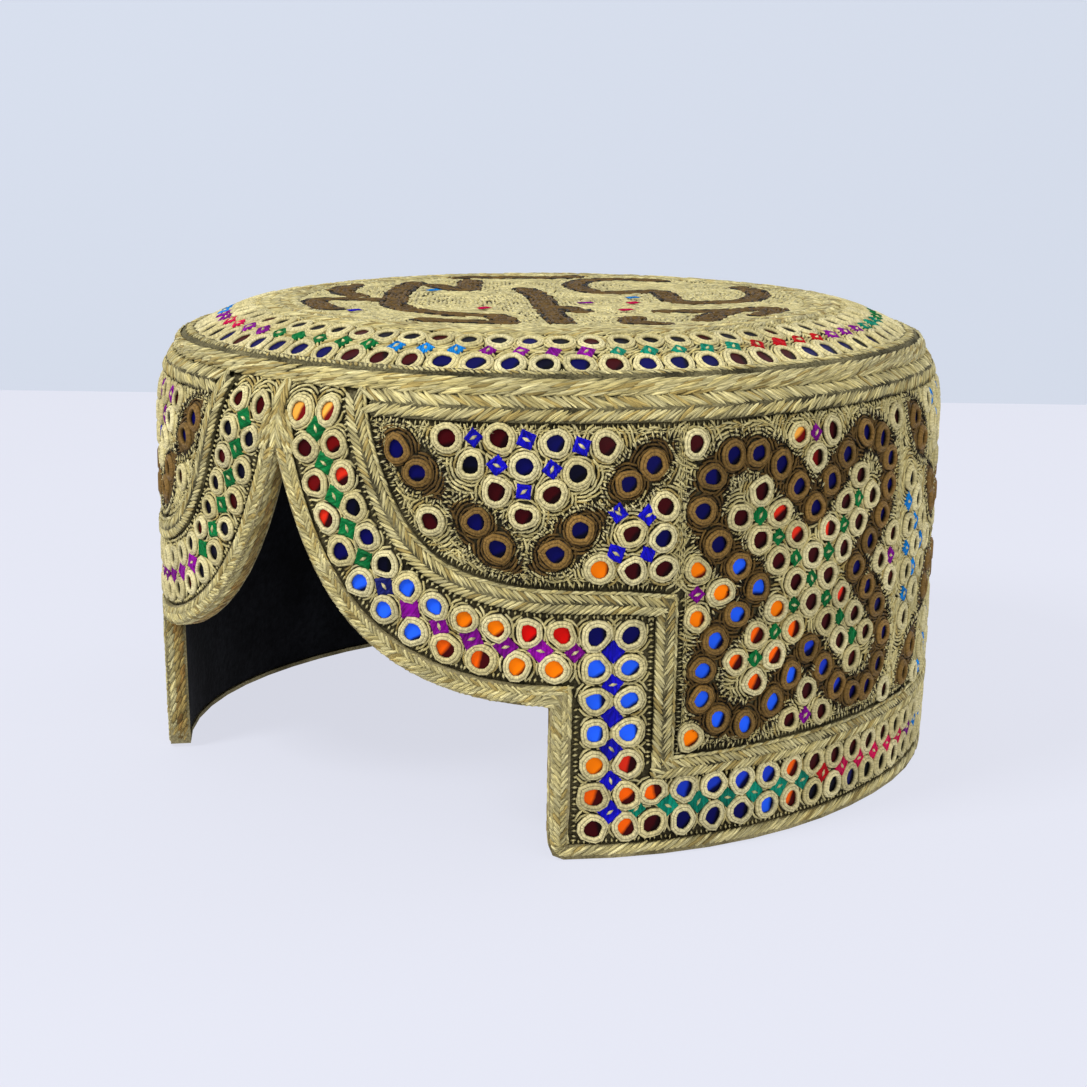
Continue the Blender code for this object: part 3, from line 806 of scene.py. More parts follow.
def finishLining(sheet, name, node, upward):
    sheet.name = sheet.data.name = name
    face = max(sheet.data.polygons, key=lambda each: each.area)
    if (face.normal.z if upward else face.normal.dot(face.center)) < 0:
        sheet.data.flip_normals()
    wall = sheet.modifiers.new("thickness", "SOLIDIFY")
    wall.thickness = lining["thickness"] * mm
    wall.offset = -1
    bpy.context.view_layer.objects.active = sheet
    bpy.ops.object.modifier_apply(modifier=wall.name)
    bpy.ops.object.shade_smooth_by_angle(angle=math.radians(40))
    sheet.data.materials.append(velvetMaterial)
    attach(sheet, "root")
    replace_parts(sheet, node)


finishLining(makeLiningWall(), "liningWall", "side_lining", False)
finishLining(makeLiningCrown(), "liningCrown", "crown_lining", True)
print("lining made")

# Mirrors: every ring's place, thread and foil, charted panel by panel
ringRows = []
starRows = []


def addRing(a, b, foil, thread="gold", where="wall", size=1.0):
    ringRows.append({"a": a, "b": b, "foil": foil, "thread": thread, "where": where, "size": size})


def addStar(a, b, silk, turn=0.0, size=1.0, where="wall"):
    starRows.append({"a": a, "b": b, "silk": silk, "turn": turn, "size": size, "where": where})


border = {
    "outerInset": 8.0,
    "innerInset": 15.3,
    "outerEnds": (-5.9, 77.4),
    "innerEnds": (-4.1, 69.9),
    # On the right the foils are charted lit and on the left dark, in rows and columns alike: painted light
    # and painted shade
    "rightOuter": "LMDrNBBBhhOO",
    "rightInner": "LDrKNKBBOORR",
    "leftOuter": "MKKMKKKMKMKM",
    "leftInner": "MKMKKMKKMKMM",
    "rightArchStars": "GGGGGVPPPPP",
    "leftArchStars": "GGGGGGPPPPP",
    "columns": (71.5, 78.6),
    "columnTop": 48.4,
    "pitch": 6.97,
    "rightColumns": ("NBBBOhM", "NBBBrhh"),
    "leftColumns": ("KMKKMKM", "KKMKKMK"),
    "columnStars": "UUUUUU",
    "hemRows": (14.0, 7.0),
    "hemStart": 84.3,
    "hemUpper": "hbbbbhMMMMMKKMKKMKNKMKKMKNMKKM",
    "hemLower": "MNNNBhKKNKKMKKKMKNKKMKKNKKMKMK",
    "hemStars": "TTTTTTRCCCCCPYYYYGGGGPPPCCCTTTUUUPPPGGGCCCYYYTTTPPPGGGRRRUUU",
    "hemCount": 60,
    "innerSize": 0.94,
    "cornerStar": 67.1,  # between the arch rows and the columns
}


def chartBorder(side, outer, inner, archStars, columns, size=1.0):
    outerLine = alongArch(border["outerInset"], np.linspace(*border["outerEnds"], len(outer)))
    innerLine = alongArch(border["innerInset"], np.linspace(*border["innerEnds"], len(inner)))
    for k in range(len(outer)):
        addRing(side * outerLine[k][0], outerLine[k][1], outer[k], size=size)
        addRing(side * innerLine[k][0], innerLine[k][1], inner[k], size=border["innerSize"] * size)
    for k in range(len(outer) - 1):
        corners = np.array([outerLine[k], outerLine[k + 1], innerLine[k], innerLine[k + 1]])
        middle = corners.mean(axis=0)
        way = outerLine[k + 1] - outerLine[k]
        addStar(side * middle[0], middle[1], archStars[k], math.atan2(way[1], side * way[0]))
    for s, foils in zip(border["columns"], columns):
        for k, foil in enumerate(foils):
            addRing(side * s, border["columnTop"] - k * border["pitch"], foil)
    middle = sum(border["columns"]) / 2
    for k, silk in enumerate(border["columnStars"]):
        addStar(side * middle, border["columnTop"] - (k + 0.5) * border["pitch"], silk)
    addStar(side * border["cornerStar"], border["columnTop"] - 0.5 * border["pitch"], "P", size=0.9)


def chartHem():
    span = 2 * halfGirth - 2 * border["hemStart"]
    pitch = span / (border["hemCount"] - 1)
    charted = len(border["hemUpper"])
    for k in range(border["hemCount"]):
        s = border["hemStart"] + k * pitch
        upper = border["hemUpper"][k] if k < charted else "MK"[k % 2]
        lower = border["hemLower"][k] if k < charted else "KM"[k % 2]
        addRing(s, border["hemRows"][0], upper)
        addRing(s, border["hemRows"][1], lower)
        if k < border["hemCount"] - 1:
            addStar(s + pitch / 2, sum(border["hemRows"]) / 2, border["hemStars"][k])
    addStar(border["hemStart"] - pitch / 2, sum(border["hemRows"]) / 2, "T", size=0.8)


chartBorder(1, border["rightOuter"], border["rightInner"], border["rightArchStars"], border["rightColumns"])
chartBorder(-1, border["leftOuter"], border["leftInner"], border["leftArchStars"], border["leftColumns"], 0.9)
chartHem()

# Front panels above the arch: four brown leaves, and mirrors between them
frontPanel = {
    "leaves": (
        # tip, first mirror, second mirror, other tip
        ((26.2, 91.0), (29.9, 85.8), (34.5, 81.3), (40.3, 76.2)),
        ((41.6, 76.8), (46.8, 71.9), (51.2, 66.6), (56.0, 60.8)),
        ((73.2, 75.2), (67.7, 70.6), (62.8, 65.6), (57.4, 61.2)),
        ((87.0, 88.8), (82.7, 83.6), (77.5, 79.9), (72.9, 75.6)),
    ),
    "rings": (
        (40.5, 88.6, "M"), (51.3, 88.9, "M"), (62.6, 88.1, "N"), (72.9, 87.6, "M"),
        (45.6, 83.5, "K"), (56.4, 83.5, "N"), (67.1, 82.2, "K"),
        (50.8, 78.3, "M"), (62.0, 77.9, "M"), (56.3, 73.4, "M"),
        (37.3, 71.6, "M"), (85.3, 75.0, "M"), (78.3, 69.6, "M"), (85.0, 68.4, "N"),
        (71.8, 62.4, "O"), (78.7, 61.9, "M"), (85.3, 62.0, "M"),
    ),
    "stars": (
        (46.0, 88.9), (56.7, 88.8), (67.8, 87.6), (50.9, 83.6), (61.9, 83.0), (56.3, 78.4),
        (75.4, 74.0), (81.8, 73.4), (75.1, 65.6), (81.8, 65.2),
    ),
}
leafShapes = []
leafHalf = 4.3


def chartFrontPanel(side, leftSide):
    for tipA, ringA, ringB, tipB in frontPanel["leaves"]:
        leafShapes.append((side * tipA[0], tipA[1], side * tipB[0], tipB[1], leafHalf))
        for a, b in (ringA, ringB):
            addRing(side * a, b, "N", "brown", size=0.92)
    for a, b, foil in frontPanel["rings"]:
        # On the left the lit orange foil is charted dark: its painted light lies on the right side only
        addRing(side * a, b, "K" if leftSide and foil == "O" else foil, size=0.95)
    for a, b in frontPanel["stars"]:
        addStar(side * a, b, "P" if leftSide and b > 80 else "U", rng.random() * 0.6, 0.85)


chartFrontPanel(1, False)
chartFrontPanel(-1, True)

# Side and back panels, in turn a looped cross and a cross of leaves
sidePanels = {
    "start": 89.0,
    "width": 68.35,
    "middle": 56.0,
    "count": 6,
    "order": "BCBBCB",
    "stepA": 5.1,
    "stepB": 5.15,
}
loopQuarter = ((0, 3), (1, 4), (2, 5), (3.4, 5.75), (4.75, 5.35), (5.55, 4.4), (5.55, 3.2), (5, 2), (4, 1))
quarters = ((1, 1), (1, -1), (-1, 1), (-1, -1))
loopCentres = []


def loopPath(centre):
    # The closed line through the brown rings of a looped cross
    places = []
    for flipA, flipB, swap in ((1, 1, False), (1, -1, True), (-1, -1, False), (-1, 1, True)):
        for a, b in loopQuarter:
            a, b = (b, a) if swap else (a, b)
            across, up = flipA * a * sidePanels["stepA"], flipB * b * sidePanels["stepB"]
            places.append((centre + across, sidePanels["middle"] + up))
    return places


def crossFoils(k, bright, left, low):
    # The two foils beside a star of the cross; the lit ones lie towards its lower left
    if bright and left:
        return ("O" if k == 1 else "h", "h") if low else ("M", "r" if k < 3 else "M")
    near = bright and k == 1
    return "r" if near and low else "M", "r" if near and not low else "M"


leafPanel = {
    "leaves": (((1.8, 2.4), (14.6, 17.6)), ((16.4, 19.4), (30.8, 35.0))),
    "mirrorsAt": (0.33, 0.68),
    "rows": ((4, 32.6), (3, 27.4), (2, 22.2), (1, 17.0)),  # mirrors in each row, and how far out it lies
    "pitch": 10.8,
    "narrower": 4.4,
}


def chartLoopPanel(centre, bright):
    middle, stepA, stepB = sidePanels["middle"], sidePanels["stepA"], sidePanels["stepB"]

    def put(i, j, foil, thread="gold", size=0.97):
        addRing(centre + i * stepA, middle + j * stepB, foil, thread, size=size)

    loopCentres.append(centre)
    for i, j in ((1, 0), (-1, 0), (0, 1), (0, -1)):
        put(i, j, "M")
    for k in (1, 2, 3):
        for flipA, flipB in quarters:
            outer, upper = crossFoils(k, bright, flipA < 0, flipB < 0)
            put(flipA * (k + 1), flipB * k, outer)
            put(flipA * k, flipB * (k + 1), upper)
    addStar(centre, middle, "G", size=0.8)
    for k in (1, 2, 3):
        for flipA, flipB in quarters:
            addStar(centre + flipA * k * stepA, middle + flipB * k * stepB, "G", size=0.85)
    for a, b in loopPath(centre):
        # On the bright panel the loop's foils towards the lower left are charted lit: painted light
        lit = bright and b < 64 and a < centre + 12
        addRing(a, b, ("B" if a < centre - 4 else "b") if lit else "N", "brown", size=0.93)
    # These foils keep their lit letters only on the bright panel and are charted dark elsewhere: painted
    # light and painted shade
    for i, j, foil in (
        (-1, 6.1, "L"), (1, 6.1, "M"), (0, 5.1, "D"), (-1, -5.95, "M"), (1, -5.95, "M"), (0, -4.85, "M"),
        (-5.9, 1, "O"), (-5.9, -1, "O"), (-4.8, 0, "O"), (6.1, 1, "M"), (6.1, -1, "M"), (5.0, 0, "M"),
        (-6.1, 6.1, "M"), (6.1, 6.1, "M"), (-6.0, -6.0, "O"), (6.1, -6.1, "M"),
    ):
        put(i, j, foil if bright or foil in "MD" else "M", size=0.94)
    for i, j in ((0, 6.1), (0, -5.95), (-5.9, 0), (6.1, 0)):
        addStar(centre + i * stepA, middle + j * stepB, "P", size=0.8)


def chartLeafPanel(centre):
    middle, pitch = sidePanels["middle"], leafPanel["pitch"]
    for flipA, flipB in quarters:
        for ends in leafPanel["leaves"]:
            tips = [(centre + flipA * a, middle + flipB * b) for a, b in ends]
            leafShapes.append((*tips[0], *tips[1], leafHalf))
            for share in leafPanel["mirrorsAt"]:
                a = tips[0][0] + (tips[1][0] - tips[0][0]) * share
                b = tips[0][1] + (tips[1][1] - tips[0][1]) * share
                addRing(a, b, "N", "brown", size=0.92)
    for row, (count, away) in enumerate(leafPanel["rows"]):
        across = away - leafPanel["narrower"]
        for k in range(count):
            shift = (k - (count - 1) / 2) * pitch
            foil = "MKMN"[(k + row) % 4]
            for flip in (1, -1):
                addRing(centre + shift, middle + flip * away, foil, size=0.95)
                addRing(centre + flip * across, middle + shift, foil, size=0.95)
            if k < count - 1:
                for flip in (1, -1):
                    addStar(centre + shift + pitch / 2, middle + flip * away, "Y", size=0.85)
                    addStar(centre + flip * across, middle + shift + pitch / 2, "Y", size=0.85)


for k, kind in enumerate(sidePanels["order"]):
    middleAt = sidePanels["start"] + sidePanels["width"] * (k + 0.5)
    if kind == "B":
        chartLoopPanel(middleAt - 0.2, k == 0)
    else:
        chartLeafPanel(middleAt)

# Shoulder: two rows of mirrors with stars between
shoulderRows = {
    "count": 73,
    "first": -4.0,
    "rows": ((10.57, "NNMMMNNNKNMN", 0), (18.9, "KMKKMKKNKMKK", 0.5)),  # inset, foils, and shift in pitches
    "starInset": 14.8,
    "seenStars": (
        (-60, "R"), (-38, "C"), (-24, "P"), (14, "G"), (44, "Y"), (76, "P"),
        (112, "T"), (146, "R"), (170, "P"),
    ),
    "otherStars": "GCYPT",
}


def chartShoulder():
    pitch = 2 * halfGirth / shoulderRows["count"]
    for k in range(shoulderRows["count"]):
        s = shoulderRows["first"] + k * pitch
        around = (s + 60) % (2 * halfGirth) - 60
        for inset, foils, shift in shoulderRows["rows"]:
            reach = pitch / crownSpread(inset)
            addRing(s + shift * pitch, inset, foils[k % 12], where="crown", size=float(reach) / 7.0)
        other = shoulderRows["otherStars"][k // 5 % 5]
        silk = next((word for limit, word in shoulderRows["seenStars"] if around < limit), other)
        addStar(s + 0.25 * pitch, shoulderRows["starInset"], silk, 0.2, 0.8, "crown")


chartShoulder()
print("charted", len(ringRows), "mirrors and", len(starRows), "stars")


def rowsWhere(rows, **wanted):
    return [row for row in rows if all(row[key] == value for key, value in wanted.items())]


def columnsOf(rows, *keys):
    return [np.array([row[key] for row in rows]) for key in keys]


def mixed(one, two, share):
    return threadDyes[one] * (1 - share) + threadDyes[two] * share


mirrorLook = {
    "ringLift": 0.2,
    "ringSize": (0.97, 1.05),
    "ringHeight": (0.9, 1.12),
    "crownHeight": 0.75,
    "waves": ((2, 0.1), (3, 0.07), (4, 0.05), (5, 0.04)),  # bends round a ring, and the most that each gives
    "foilLift": 0.22,
    "foilHalf": 2.15,
    "foilShadeAim": (-0.6, 0.4),
    "starHalf": 2.55,
    "starSize": (0.92, 1.1),
    "beadShare": 0.85,
    "bead": (1.9, 1.3, 0.8),
    "beadLift": 0.85,
}
surfaces = {"wall": wallSurface, "crown": crownSurface}


def spreadAt(where, b):
    return crownSpread(b) if where == "crown" else 1.0


def layRings(rows, name, where, replaced=()):
    bundle = newBundle()
    a, b, size = columnsOf(rows, "a", "b", "size")
    n = len(rows)
    size = size * rng.uniform(*mirrorLook["ringSize"], n)
    brown = np.array([row["thread"] == "brown" for row in rows])[:, None]
    shade = rng.random((n, 1))
    squeeze = [
        (waves, rng.uniform(0, most, n), rng.uniform(0, fullTurn, n)) for waves, most in mirrorLook["waves"]
    ]
    lower = mirrorLook["crownHeight"] if where == "crown" else 1.0
    addCopies(
        bundle, ringUnit, surfaces[where], a, b, lift=mirrorLook["ringLift"],
        turn=rng.uniform(0, fullTurn, n),
        size=(size, size, rng.uniform(*mirrorLook["ringHeight"], n) * lower), spread=spreadAt(where, b),
        values={"linearColour": np.where(brown, mixed("brown", "brownPale", shade), mixed("lip", "lipPale", shade))},
        squeeze=squeeze,
    )
    piece = finishBundle(bundle, name, ringMaterial)
    if replaced:
        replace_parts(piece, *replaced)


def layFoils(name):
    bundle = newBundle()
    for where, surface in surfaces.items():
        rows = rowsWhere(ringRows, where=where)
        a, b, size = columnsOf(rows, "a", "b", "size")
        n = len(rows)
        # Each foil's painted light colour, painted shade colour, and how far the painted shade reaches; aim
        # sets the side the painted shade lies on
        lit, dark, cut = (np.array([foilKinds[row["foil"]][k] for row in rows]) for k in range(3))
        aim = rng.normal(*mirrorLook["foilShadeAim"], n)
        cut = cut * unitShapes["uvShare"] + rng.normal(0, 0.02, n)
        half = size * mirrorLook["foilHalf"]
        addCopies(
            bundle, foilUnit, surface, a, b, lift=mirrorLook["foilLift"], size=(half, half, 1.0),
            spread=spreadAt(where, b),
            values={
                "foilPaintedLit": lit * rng.uniform(0.85, 1.1, (n, 1)),
                "foilPaintedShade": dark,
                "foilShadeAim": np.stack([np.cos(aim), np.sin(aim), cut], 1),
            },
        )
    finishBundle(bundle, name, foilMaterial)


def layStars(name):
    bundle = newBundle()
    for where, surface in surfaces.items():
        rows = rowsWhere(starRows, where=where)
        a, b, turn, size = columnsOf(rows, "a", "b", "turn", "size")
        n = len(rows)
        size = size * mirrorLook["starHalf"] * rng.uniform(*mirrorLook["starSize"], n)
        spread = np.broadcast_to(spreadAt(where, b), n)
        silk = np.array([silkDyes[row["silk"]] for row in rows])
        addCopies(
            bundle, starUnit, surface, a, b, lift=0.15, turn=turn + rng.normal(0, 0.1, n),
            size=(size, size, 1.0), spread=spread, values={"linearColour": silk},
        )
        # Most stars hold a small pale bead of thread
        eyed = rng.random(n) < mirrorLook["beadShare"]
        addCopies(
            bundle, stitchUnit, surface, a[eyed], b[eyed], lift=mirrorLook["beadLift"],
            turn=rng.uniform(0, 3, eyed.sum()), size=mirrorLook["bead"], spread=spread[eyed],
            values={"linearColour": threadDyes["goldPale"]},
        )
    finishBundle(bundle, name, silkMaterial)


wallRings = rowsWhere(ringRows, where="wall")
crownRings = rowsWhere(ringRows, where="crown")
flapReach = 82  # mm from the front centre
flapRings = [row for row in wallRings if abs(wrapped(row["a"])) < flapReach and row["thread"] == "gold"]
otherRings = [row for row in wallRings if row not in flapRings]
layRings(flapRings, "flapRings", "wall", ("right_flap_mirrors", "left_flap_mirrors"))
layRings(otherRings[: len(otherRings) // 2], "panelRingsRight", "wall")
layRings(otherRings[len(otherRings) // 2 :], "panelRingsLeft", "wall")
layRings(crownRings, "shoulderRings", "crown")
layFoils("foilMirrors")
layStars("silkStars")
print("mirrors and stars laid")

# Brown shapes: leaves and looped crosses
brownForms = {"leafPower": 2.4, "loopHalf": 4.0, "fringePitch": 0.75, "fringeLong": 2.7}


def leafFrame(leaf):
    a0, b0, a1, b1, half = leaf
    long = math.hypot(a1 - a0, b1 - b0)
    return long, (a1 - a0) / long, (b1 - b0) / long


def leafMask(a, b, leaf):
    long, ux, uy = leafFrame(leaf)
    along = ((a - leaf[0]) * ux + (b - leaf[1]) * uy) / long * 2 - 1
    across = -(a - leaf[0]) * uy + (b - leaf[1]) * ux
    width = leaf[4] * (1 - np.clip(np.abs(along), 0, 1) ** brownForms["leafPower"])
    return (np.abs(along) < 1) & (np.abs(across) < width)


def leafOutline(leaf):
    long, ux, uy = leafFrame(leaf)
    t = np.linspace(-1, 1, 40)
    width = leaf[4] * (1 - np.abs(t) ** brownForms["leafPower"])
    flat = np.vstack([np.stack([t, width], 1), np.stack([t[::-1], -width[::-1]], 1)])
    along = (flat[:, 0] + 1) / 2 * long
    return np.stack([leaf[0] + along * ux - flat[:, 1] * uy, leaf[1] + along * uy + flat[:, 1] * ux], 1)


loopLines = [evenPath(loopPath(centre) + [loopPath(centre)[0]], 0.8) for centre in loopCentres]


def brownAt(a, b):
    found = np.zeros(len(a), bool)
    for leaf in leafShapes:
        near = np.hypot(wrapped(a - (leaf[0] + leaf[2]) / 2), b - (leaf[1] + leaf[3]) / 2) < 14
        shift = wrapped(a[near] - leaf[0]) + leaf[0]
        found[near] |= leafMask(shift, b[near], leaf)
    for centre, line in zip(loopCentres, loopLines):
        near = np.abs(wrapped(a - centre)) < 36
        if near.any():
            gap = gapToLine(wrapped(a[near] - centre) + centre, b[near], line)
            found[near] |= gap < brownForms["loopHalf"]
    return found


# Braids and cords: two leaning rows of strands that meet like a plait, or one row like a rope
braids = {
    "lift": 1.12,
    "mirrorClear": 2.7,
    "acrossTurn": 1.57,
    "frameCorners": (((84.0, 56.1), (88.0, 56.1), (88.0, 52.4)), ((84.3, 21.4), (84.3, 17.4), (88.4, 17.4))),
    "apexLine": ((4.6, 83.6), (3.7, 86.6), (2.2, 90.6)),
    "cornerLine": ((57.0, 37.4), (66.1, 37.4), (66.1, 27.0)),
    "stemLine": ((0, 83.4), (0, 96.8)),
    "upperLine": ((22.4, 94.3), (backEnd, 94.3)),
    "frame": {"width": 4.0, "pitch": 1.16, "lean": 0.62, "fat": 0.92, "high": 1.0, "loose": 0.04},
    "upper": {"width": 4.4, "pitch": 1.2, "lean": 0.5, "fat": 0.88, "high": 1.0, "loose": 0.09},
    "top": {"width": 4.4, "pitch": 1.4, "lean": 0.55, "fat": 1.15, "high": 0.9, "loose": 0.06},
    "edge": {"width": 3.3, "pitch": 1.25, "lean": 0.6, "fat": 1.0, "high": 0.9, "loose": 0.05},
    "stem": {"width": 3.4, "pitch": 1.4, "lean": 0.45, "fat": 1.0, "high": 0.9, "loose": 0.05},
}


def strandColours(count, shaded=False):
    colour = mixed("gold", "goldPale", rng.random((count, 1)))
    # Shaded strands are darker brown-gold: painted shade
    if shaded:
        colour = mixed("brownPale", "goldDeep", rng.random((count, 1)))
    return np.where(rng.random((count, 1)) < 0.16, threadDyes["goldDeep"], colour)


def layPlait(
    bundle, path, surface, kind, offset=0.0, lift=braids["lift"], start=0.0, end=None, spread=1.0,
):
    # Two rows of strands that lean towards each other
    end = path["length"][-1] if end is None else end
    kind = braids[kind]
    steps = np.arange(start, end, kind["pitch"] * spread)
    n = len(steps)
    for side in (1, -1):
        at = steps + (0.5 * kind["pitch"] * spread if side < 0 else 0) + rng.normal(0, 0.06, n)
        a, b, turn = beside(path, at, side * kind["width"] * 0.23 + offset, spread)
        long = kind["width"] * 0.5 / math.sin(kind["lean"])
        addCopies(
            bundle, strandUnit, surface, a, b, lift=lift + rng.uniform(-0.1, 0.12, n),
            turn=turn - side * kind["lean"] + rng.normal(0, kind["loose"], n),
            size=(long * rng.uniform(1.04, 1.26, n), kind["fat"], kind["high"] * rng.uniform(0.85, 1.1, n)),
            spread=spread, values={"linearColour": strandColours(n)},
        )


def layRope(
    bundle, path, surface, shifts, pitch, long, lean, fat=1.0, high=0.95, lift=0.0,
    start=0.0, end=None, loose=0.05, shaded=False,
):
    # Rows of strands that all lean one way
    end = path["length"][-1] if end is None else end
    for k, shift in enumerate(shifts):
        steps = np.arange(start + k * 0.37 * pitch, end, pitch)
        n = len(steps)
        steps = steps + rng.normal(0, 0.08 * pitch, n)
        a, b, turn = beside(path, steps, shift)
        addCopies(
            bundle, strandUnit, surface, a, b, lift=lift + rng.uniform(-0.08, 0.1, n),
            turn=turn + lean + rng.normal(0, loose, n),
            size=(long * rng.uniform(0.88, 1.15, n), fat * rng.uniform(0.85, 1.15, n), high),
            values={"linearColour": strandColours(n, shaded)},
        )


def clearOfMirrors(a, b):
    # No stitch lies across a mirror
    ringA, ringB, size = columnsOf(wallRings, "a", "b", "size")
    away = np.hypot(wrapped(a[:, None] - ringA), b[:, None] - ringB)
    return (away > braids["mirrorClear"] * size).all(axis=1)


def layTicks(
    bundle, path, surface, shift, pitch=1.0, long=1.8, fat=0.62, lift=0.4,
    start=0.0, end=None, colours=("gold", "goldPale"), spread=1.0, high=0.7,
):
    # Short stitches across a dark line
    end = path["length"][-1] if end is None else end
    steps = np.arange(start, end, pitch * spread)
    n = len(steps)
    a, b, turn = beside(path, steps + rng.normal(0, 0.12, n), shift + rng.normal(0, 0.08, n), spread)
    if surface is wallSurface:
        keep = clearOfMirrors(a, b)
        a, b, turn = a[keep], b[keep], turn[keep]
        n = len(a)
    addCopies(
        bundle, stitchUnit, surface, a, b, lift=lift,
        turn=turn + braids["acrossTurn"] + rng.normal(0, 0.2, n),
        size=(long * rng.uniform(0.75, 1.2, n), fat * rng.uniform(0.8, 1.2, n), high), spread=spread,
        values={"linearColour": mixed(*colours, rng.random((n, 1)))},
    )


def layChain(bundle, path, surface, pitch=1.5, fat=0.9):
    # Chain stitch: one small V after the other
    steps = np.arange(0.0, path["length"][-1], pitch)
    n = len(steps)
    colour = mixed("gold", "goldPale", rng.random((n, 1)))
    for side in (1, -1):
        a, b, turn = beside(path, steps, side * 0.26 * fat)
        turn = turn + side * 0.2 + rng.normal(0, 0.05, n)
        keep = clearOfMirrors(a, b)
        addCopies(
            bundle, stitchUnit, surface, a[keep], b[keep], lift=0.5, turn=turn[keep],
            size=(pitch * 1.7, fat * 0.62, 0.7), values={"linearColour": colour[keep]},
        )


upperPath = evenPath(braids["upperLine"])
bundle = newBundle()
layPlait(bundle, framePath, wallSurface, "frame", -0.35)
layRope(bundle, framePath, wallSurface, (2.0,), 1.5, 2.6, 0.22, fat=0.75, high=0.8, lift=0.95)
for corner in braids["frameCorners"]:
    layRope(bundle, evenPath(corner), wallSurface, (0.0,), 1.0, 2.6, 0.25, fat=0.9, lift=0.9)
addMirrored(bundle)
finishBundle(bundle, "frameBraidPlait", braidMaterial)

bundle = newBundle()
layPlait(bundle, upperPath, wallSurface, "upper", 0.1, lift=1.05)
addMirrored(bundle)
finishBundle(bundle, "upperBraidPlait", braidMaterial)

# The welt and the binding follow a section: its points are inset and height, or lap and height
weltSection = np.array([
    (3.5, 97.0), (3.08, 97.4), (3.3, 99.0), (4.0, 100.3), (5.04, 101.0), (6.64, 101.6), (8.1, 101.6),
])
bindingSection = np.array([
    (1.1, -3.4), (0.6, -3.2), (0.6, 0.35), (0.75, 0.9), (1.2, 1.1), (4.1, 1.05), (4.5, 0.5),
])
sectionReach = 0.3


def sectionAt(section, v):
    length = np.concatenate([[0], np.cumsum(np.hypot(*np.diff(section, axis=0).T))])
    (p, q), (p2, q2), (p1, q1) = (
        [np.interp(place, length, section[:, k]) for k in (0, 1)]
        for place in (v, v + sectionReach, v - sectionReach)
    )
    dp, dq = p2 - p1, q2 - q1
    size = np.maximum(np.hypot(dp, dq), 1e-6)
    return p, q, dp / size, dq / size


def weltSurface(s, v, h):
    inset, z, di, dz = sectionAt(weltSection, v)
    x, y = planAt(angleAt(s), inset - dz * h)
    return np.stack([x * topScale, y * topScale, z + di * h], axis=-1) * mm


def bindingSurface(t, v, h):
    # Round the opening the strands lie on the edge, and along the hem they stay above the floor
    lap, height, dl, dh = sectionAt(bindingSection, v)
    s, z, turn = atLength(edge, t)
    lap = lap - dh * h - 0.55 * np.clip((hemStart - 2 - t) / 6, 0, 1)
    return wallSurface(s - np.sin(turn) * lap, z + np.cos(turn) * lap, height + dl * h)


weltPath = evenPath([(0, 0), (2 * halfGirth, 0)])
bundle = newBundle()
layRope(
    bundle, weltPath, weltSurface, (0.8, 1.5, 2.2, 2.9, 3.5), 3.4, 6.6, 0.18, fat=0.85, high=0.9, loose=0.04,
)
layRope(bundle, weltPath, weltSurface, (6.6,), 1.25, 2.9, -0.75, fat=0.85, high=0.6, loose=0.15)
finishBundle(bundle, "weltPlait", braidMaterial)

binding = evenPath([(0, 0), (edge["length"][-1], 0)]), bindingSurface
bundle = newBundle()
layRope(bundle, *binding, (4.9,), 1.25, 3.3, 0.5, fat=1.05, lift=-0.1, end=hemStart)
layPlait(bundle, *binding, "edge", 6.9, lift=-0.05, start=0.5, end=hemStart - 1)
layRope(bundle, *binding, (8.5,), 1.4, 2.4, 0.2, fat=0.75, high=0.8, start=2.0, end=hemStart - 4)
layRope(bundle, *binding, (5.6,), 1.5, 5.2, 0.52, fat=1.1, lift=-0.1, start=hemStart)
# The inner rows on the reveal are darkened as painted shade
layRope(bundle, *binding, (1.2, 2.4), 1.9, 3.6, 0.42, fat=1.2, high=0.7, end=hemStart, shaded=True)
layRope(bundle, *binding, (3.6,), 1.9, 3.6, 0.42, fat=1.2, high=0.7, end=hemStart)
layRope(bundle, *binding, (2.0, 3.6), 2.6, 4.4, 0.42, fat=1.2, high=0.7, lift=-0.1, start=hemStart)
layRope(
    bundle, evenPath(braids["apexLine"]), wallSurface, (-0.5, 0.6, 1.7), 1.1, 3.0, 0.3, fat=1.0, lift=0.95,
)
layRope(bundle, evenPath(braids["cornerLine"]), wallSurface, (0.0, -1.0), 1.1, 2.8, 0.28, fat=0.95, lift=0.95)
addMirrored(bundle)
layPlait(bundle, evenPath(braids["stemLine"]), wallSurface, "stem", lift=1.0)
finishBundle(bundle, "edgeBindingPlait", braidMaterial)

rim = {"inset": 27.5, "offsets": (-2.1, 2.1), "topHalf": (halfWidth - 31.2, halfLength - 31.2)}
rimPath = evenPath([(0, rim["inset"]), (2 * halfGirth, rim["inset"])])
rimSpread = float(crownSpread(rim["inset"]))
bundle = newBundle()
for offset in rim["offsets"]:
    layPlait(bundle, rimPath, crownSurface, "top", offset, lift=0.45, spread=rimSpread)
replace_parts(finishBundle(bundle, "topBraidPlait", braidMaterial), "top_braid")
print("braids laid")

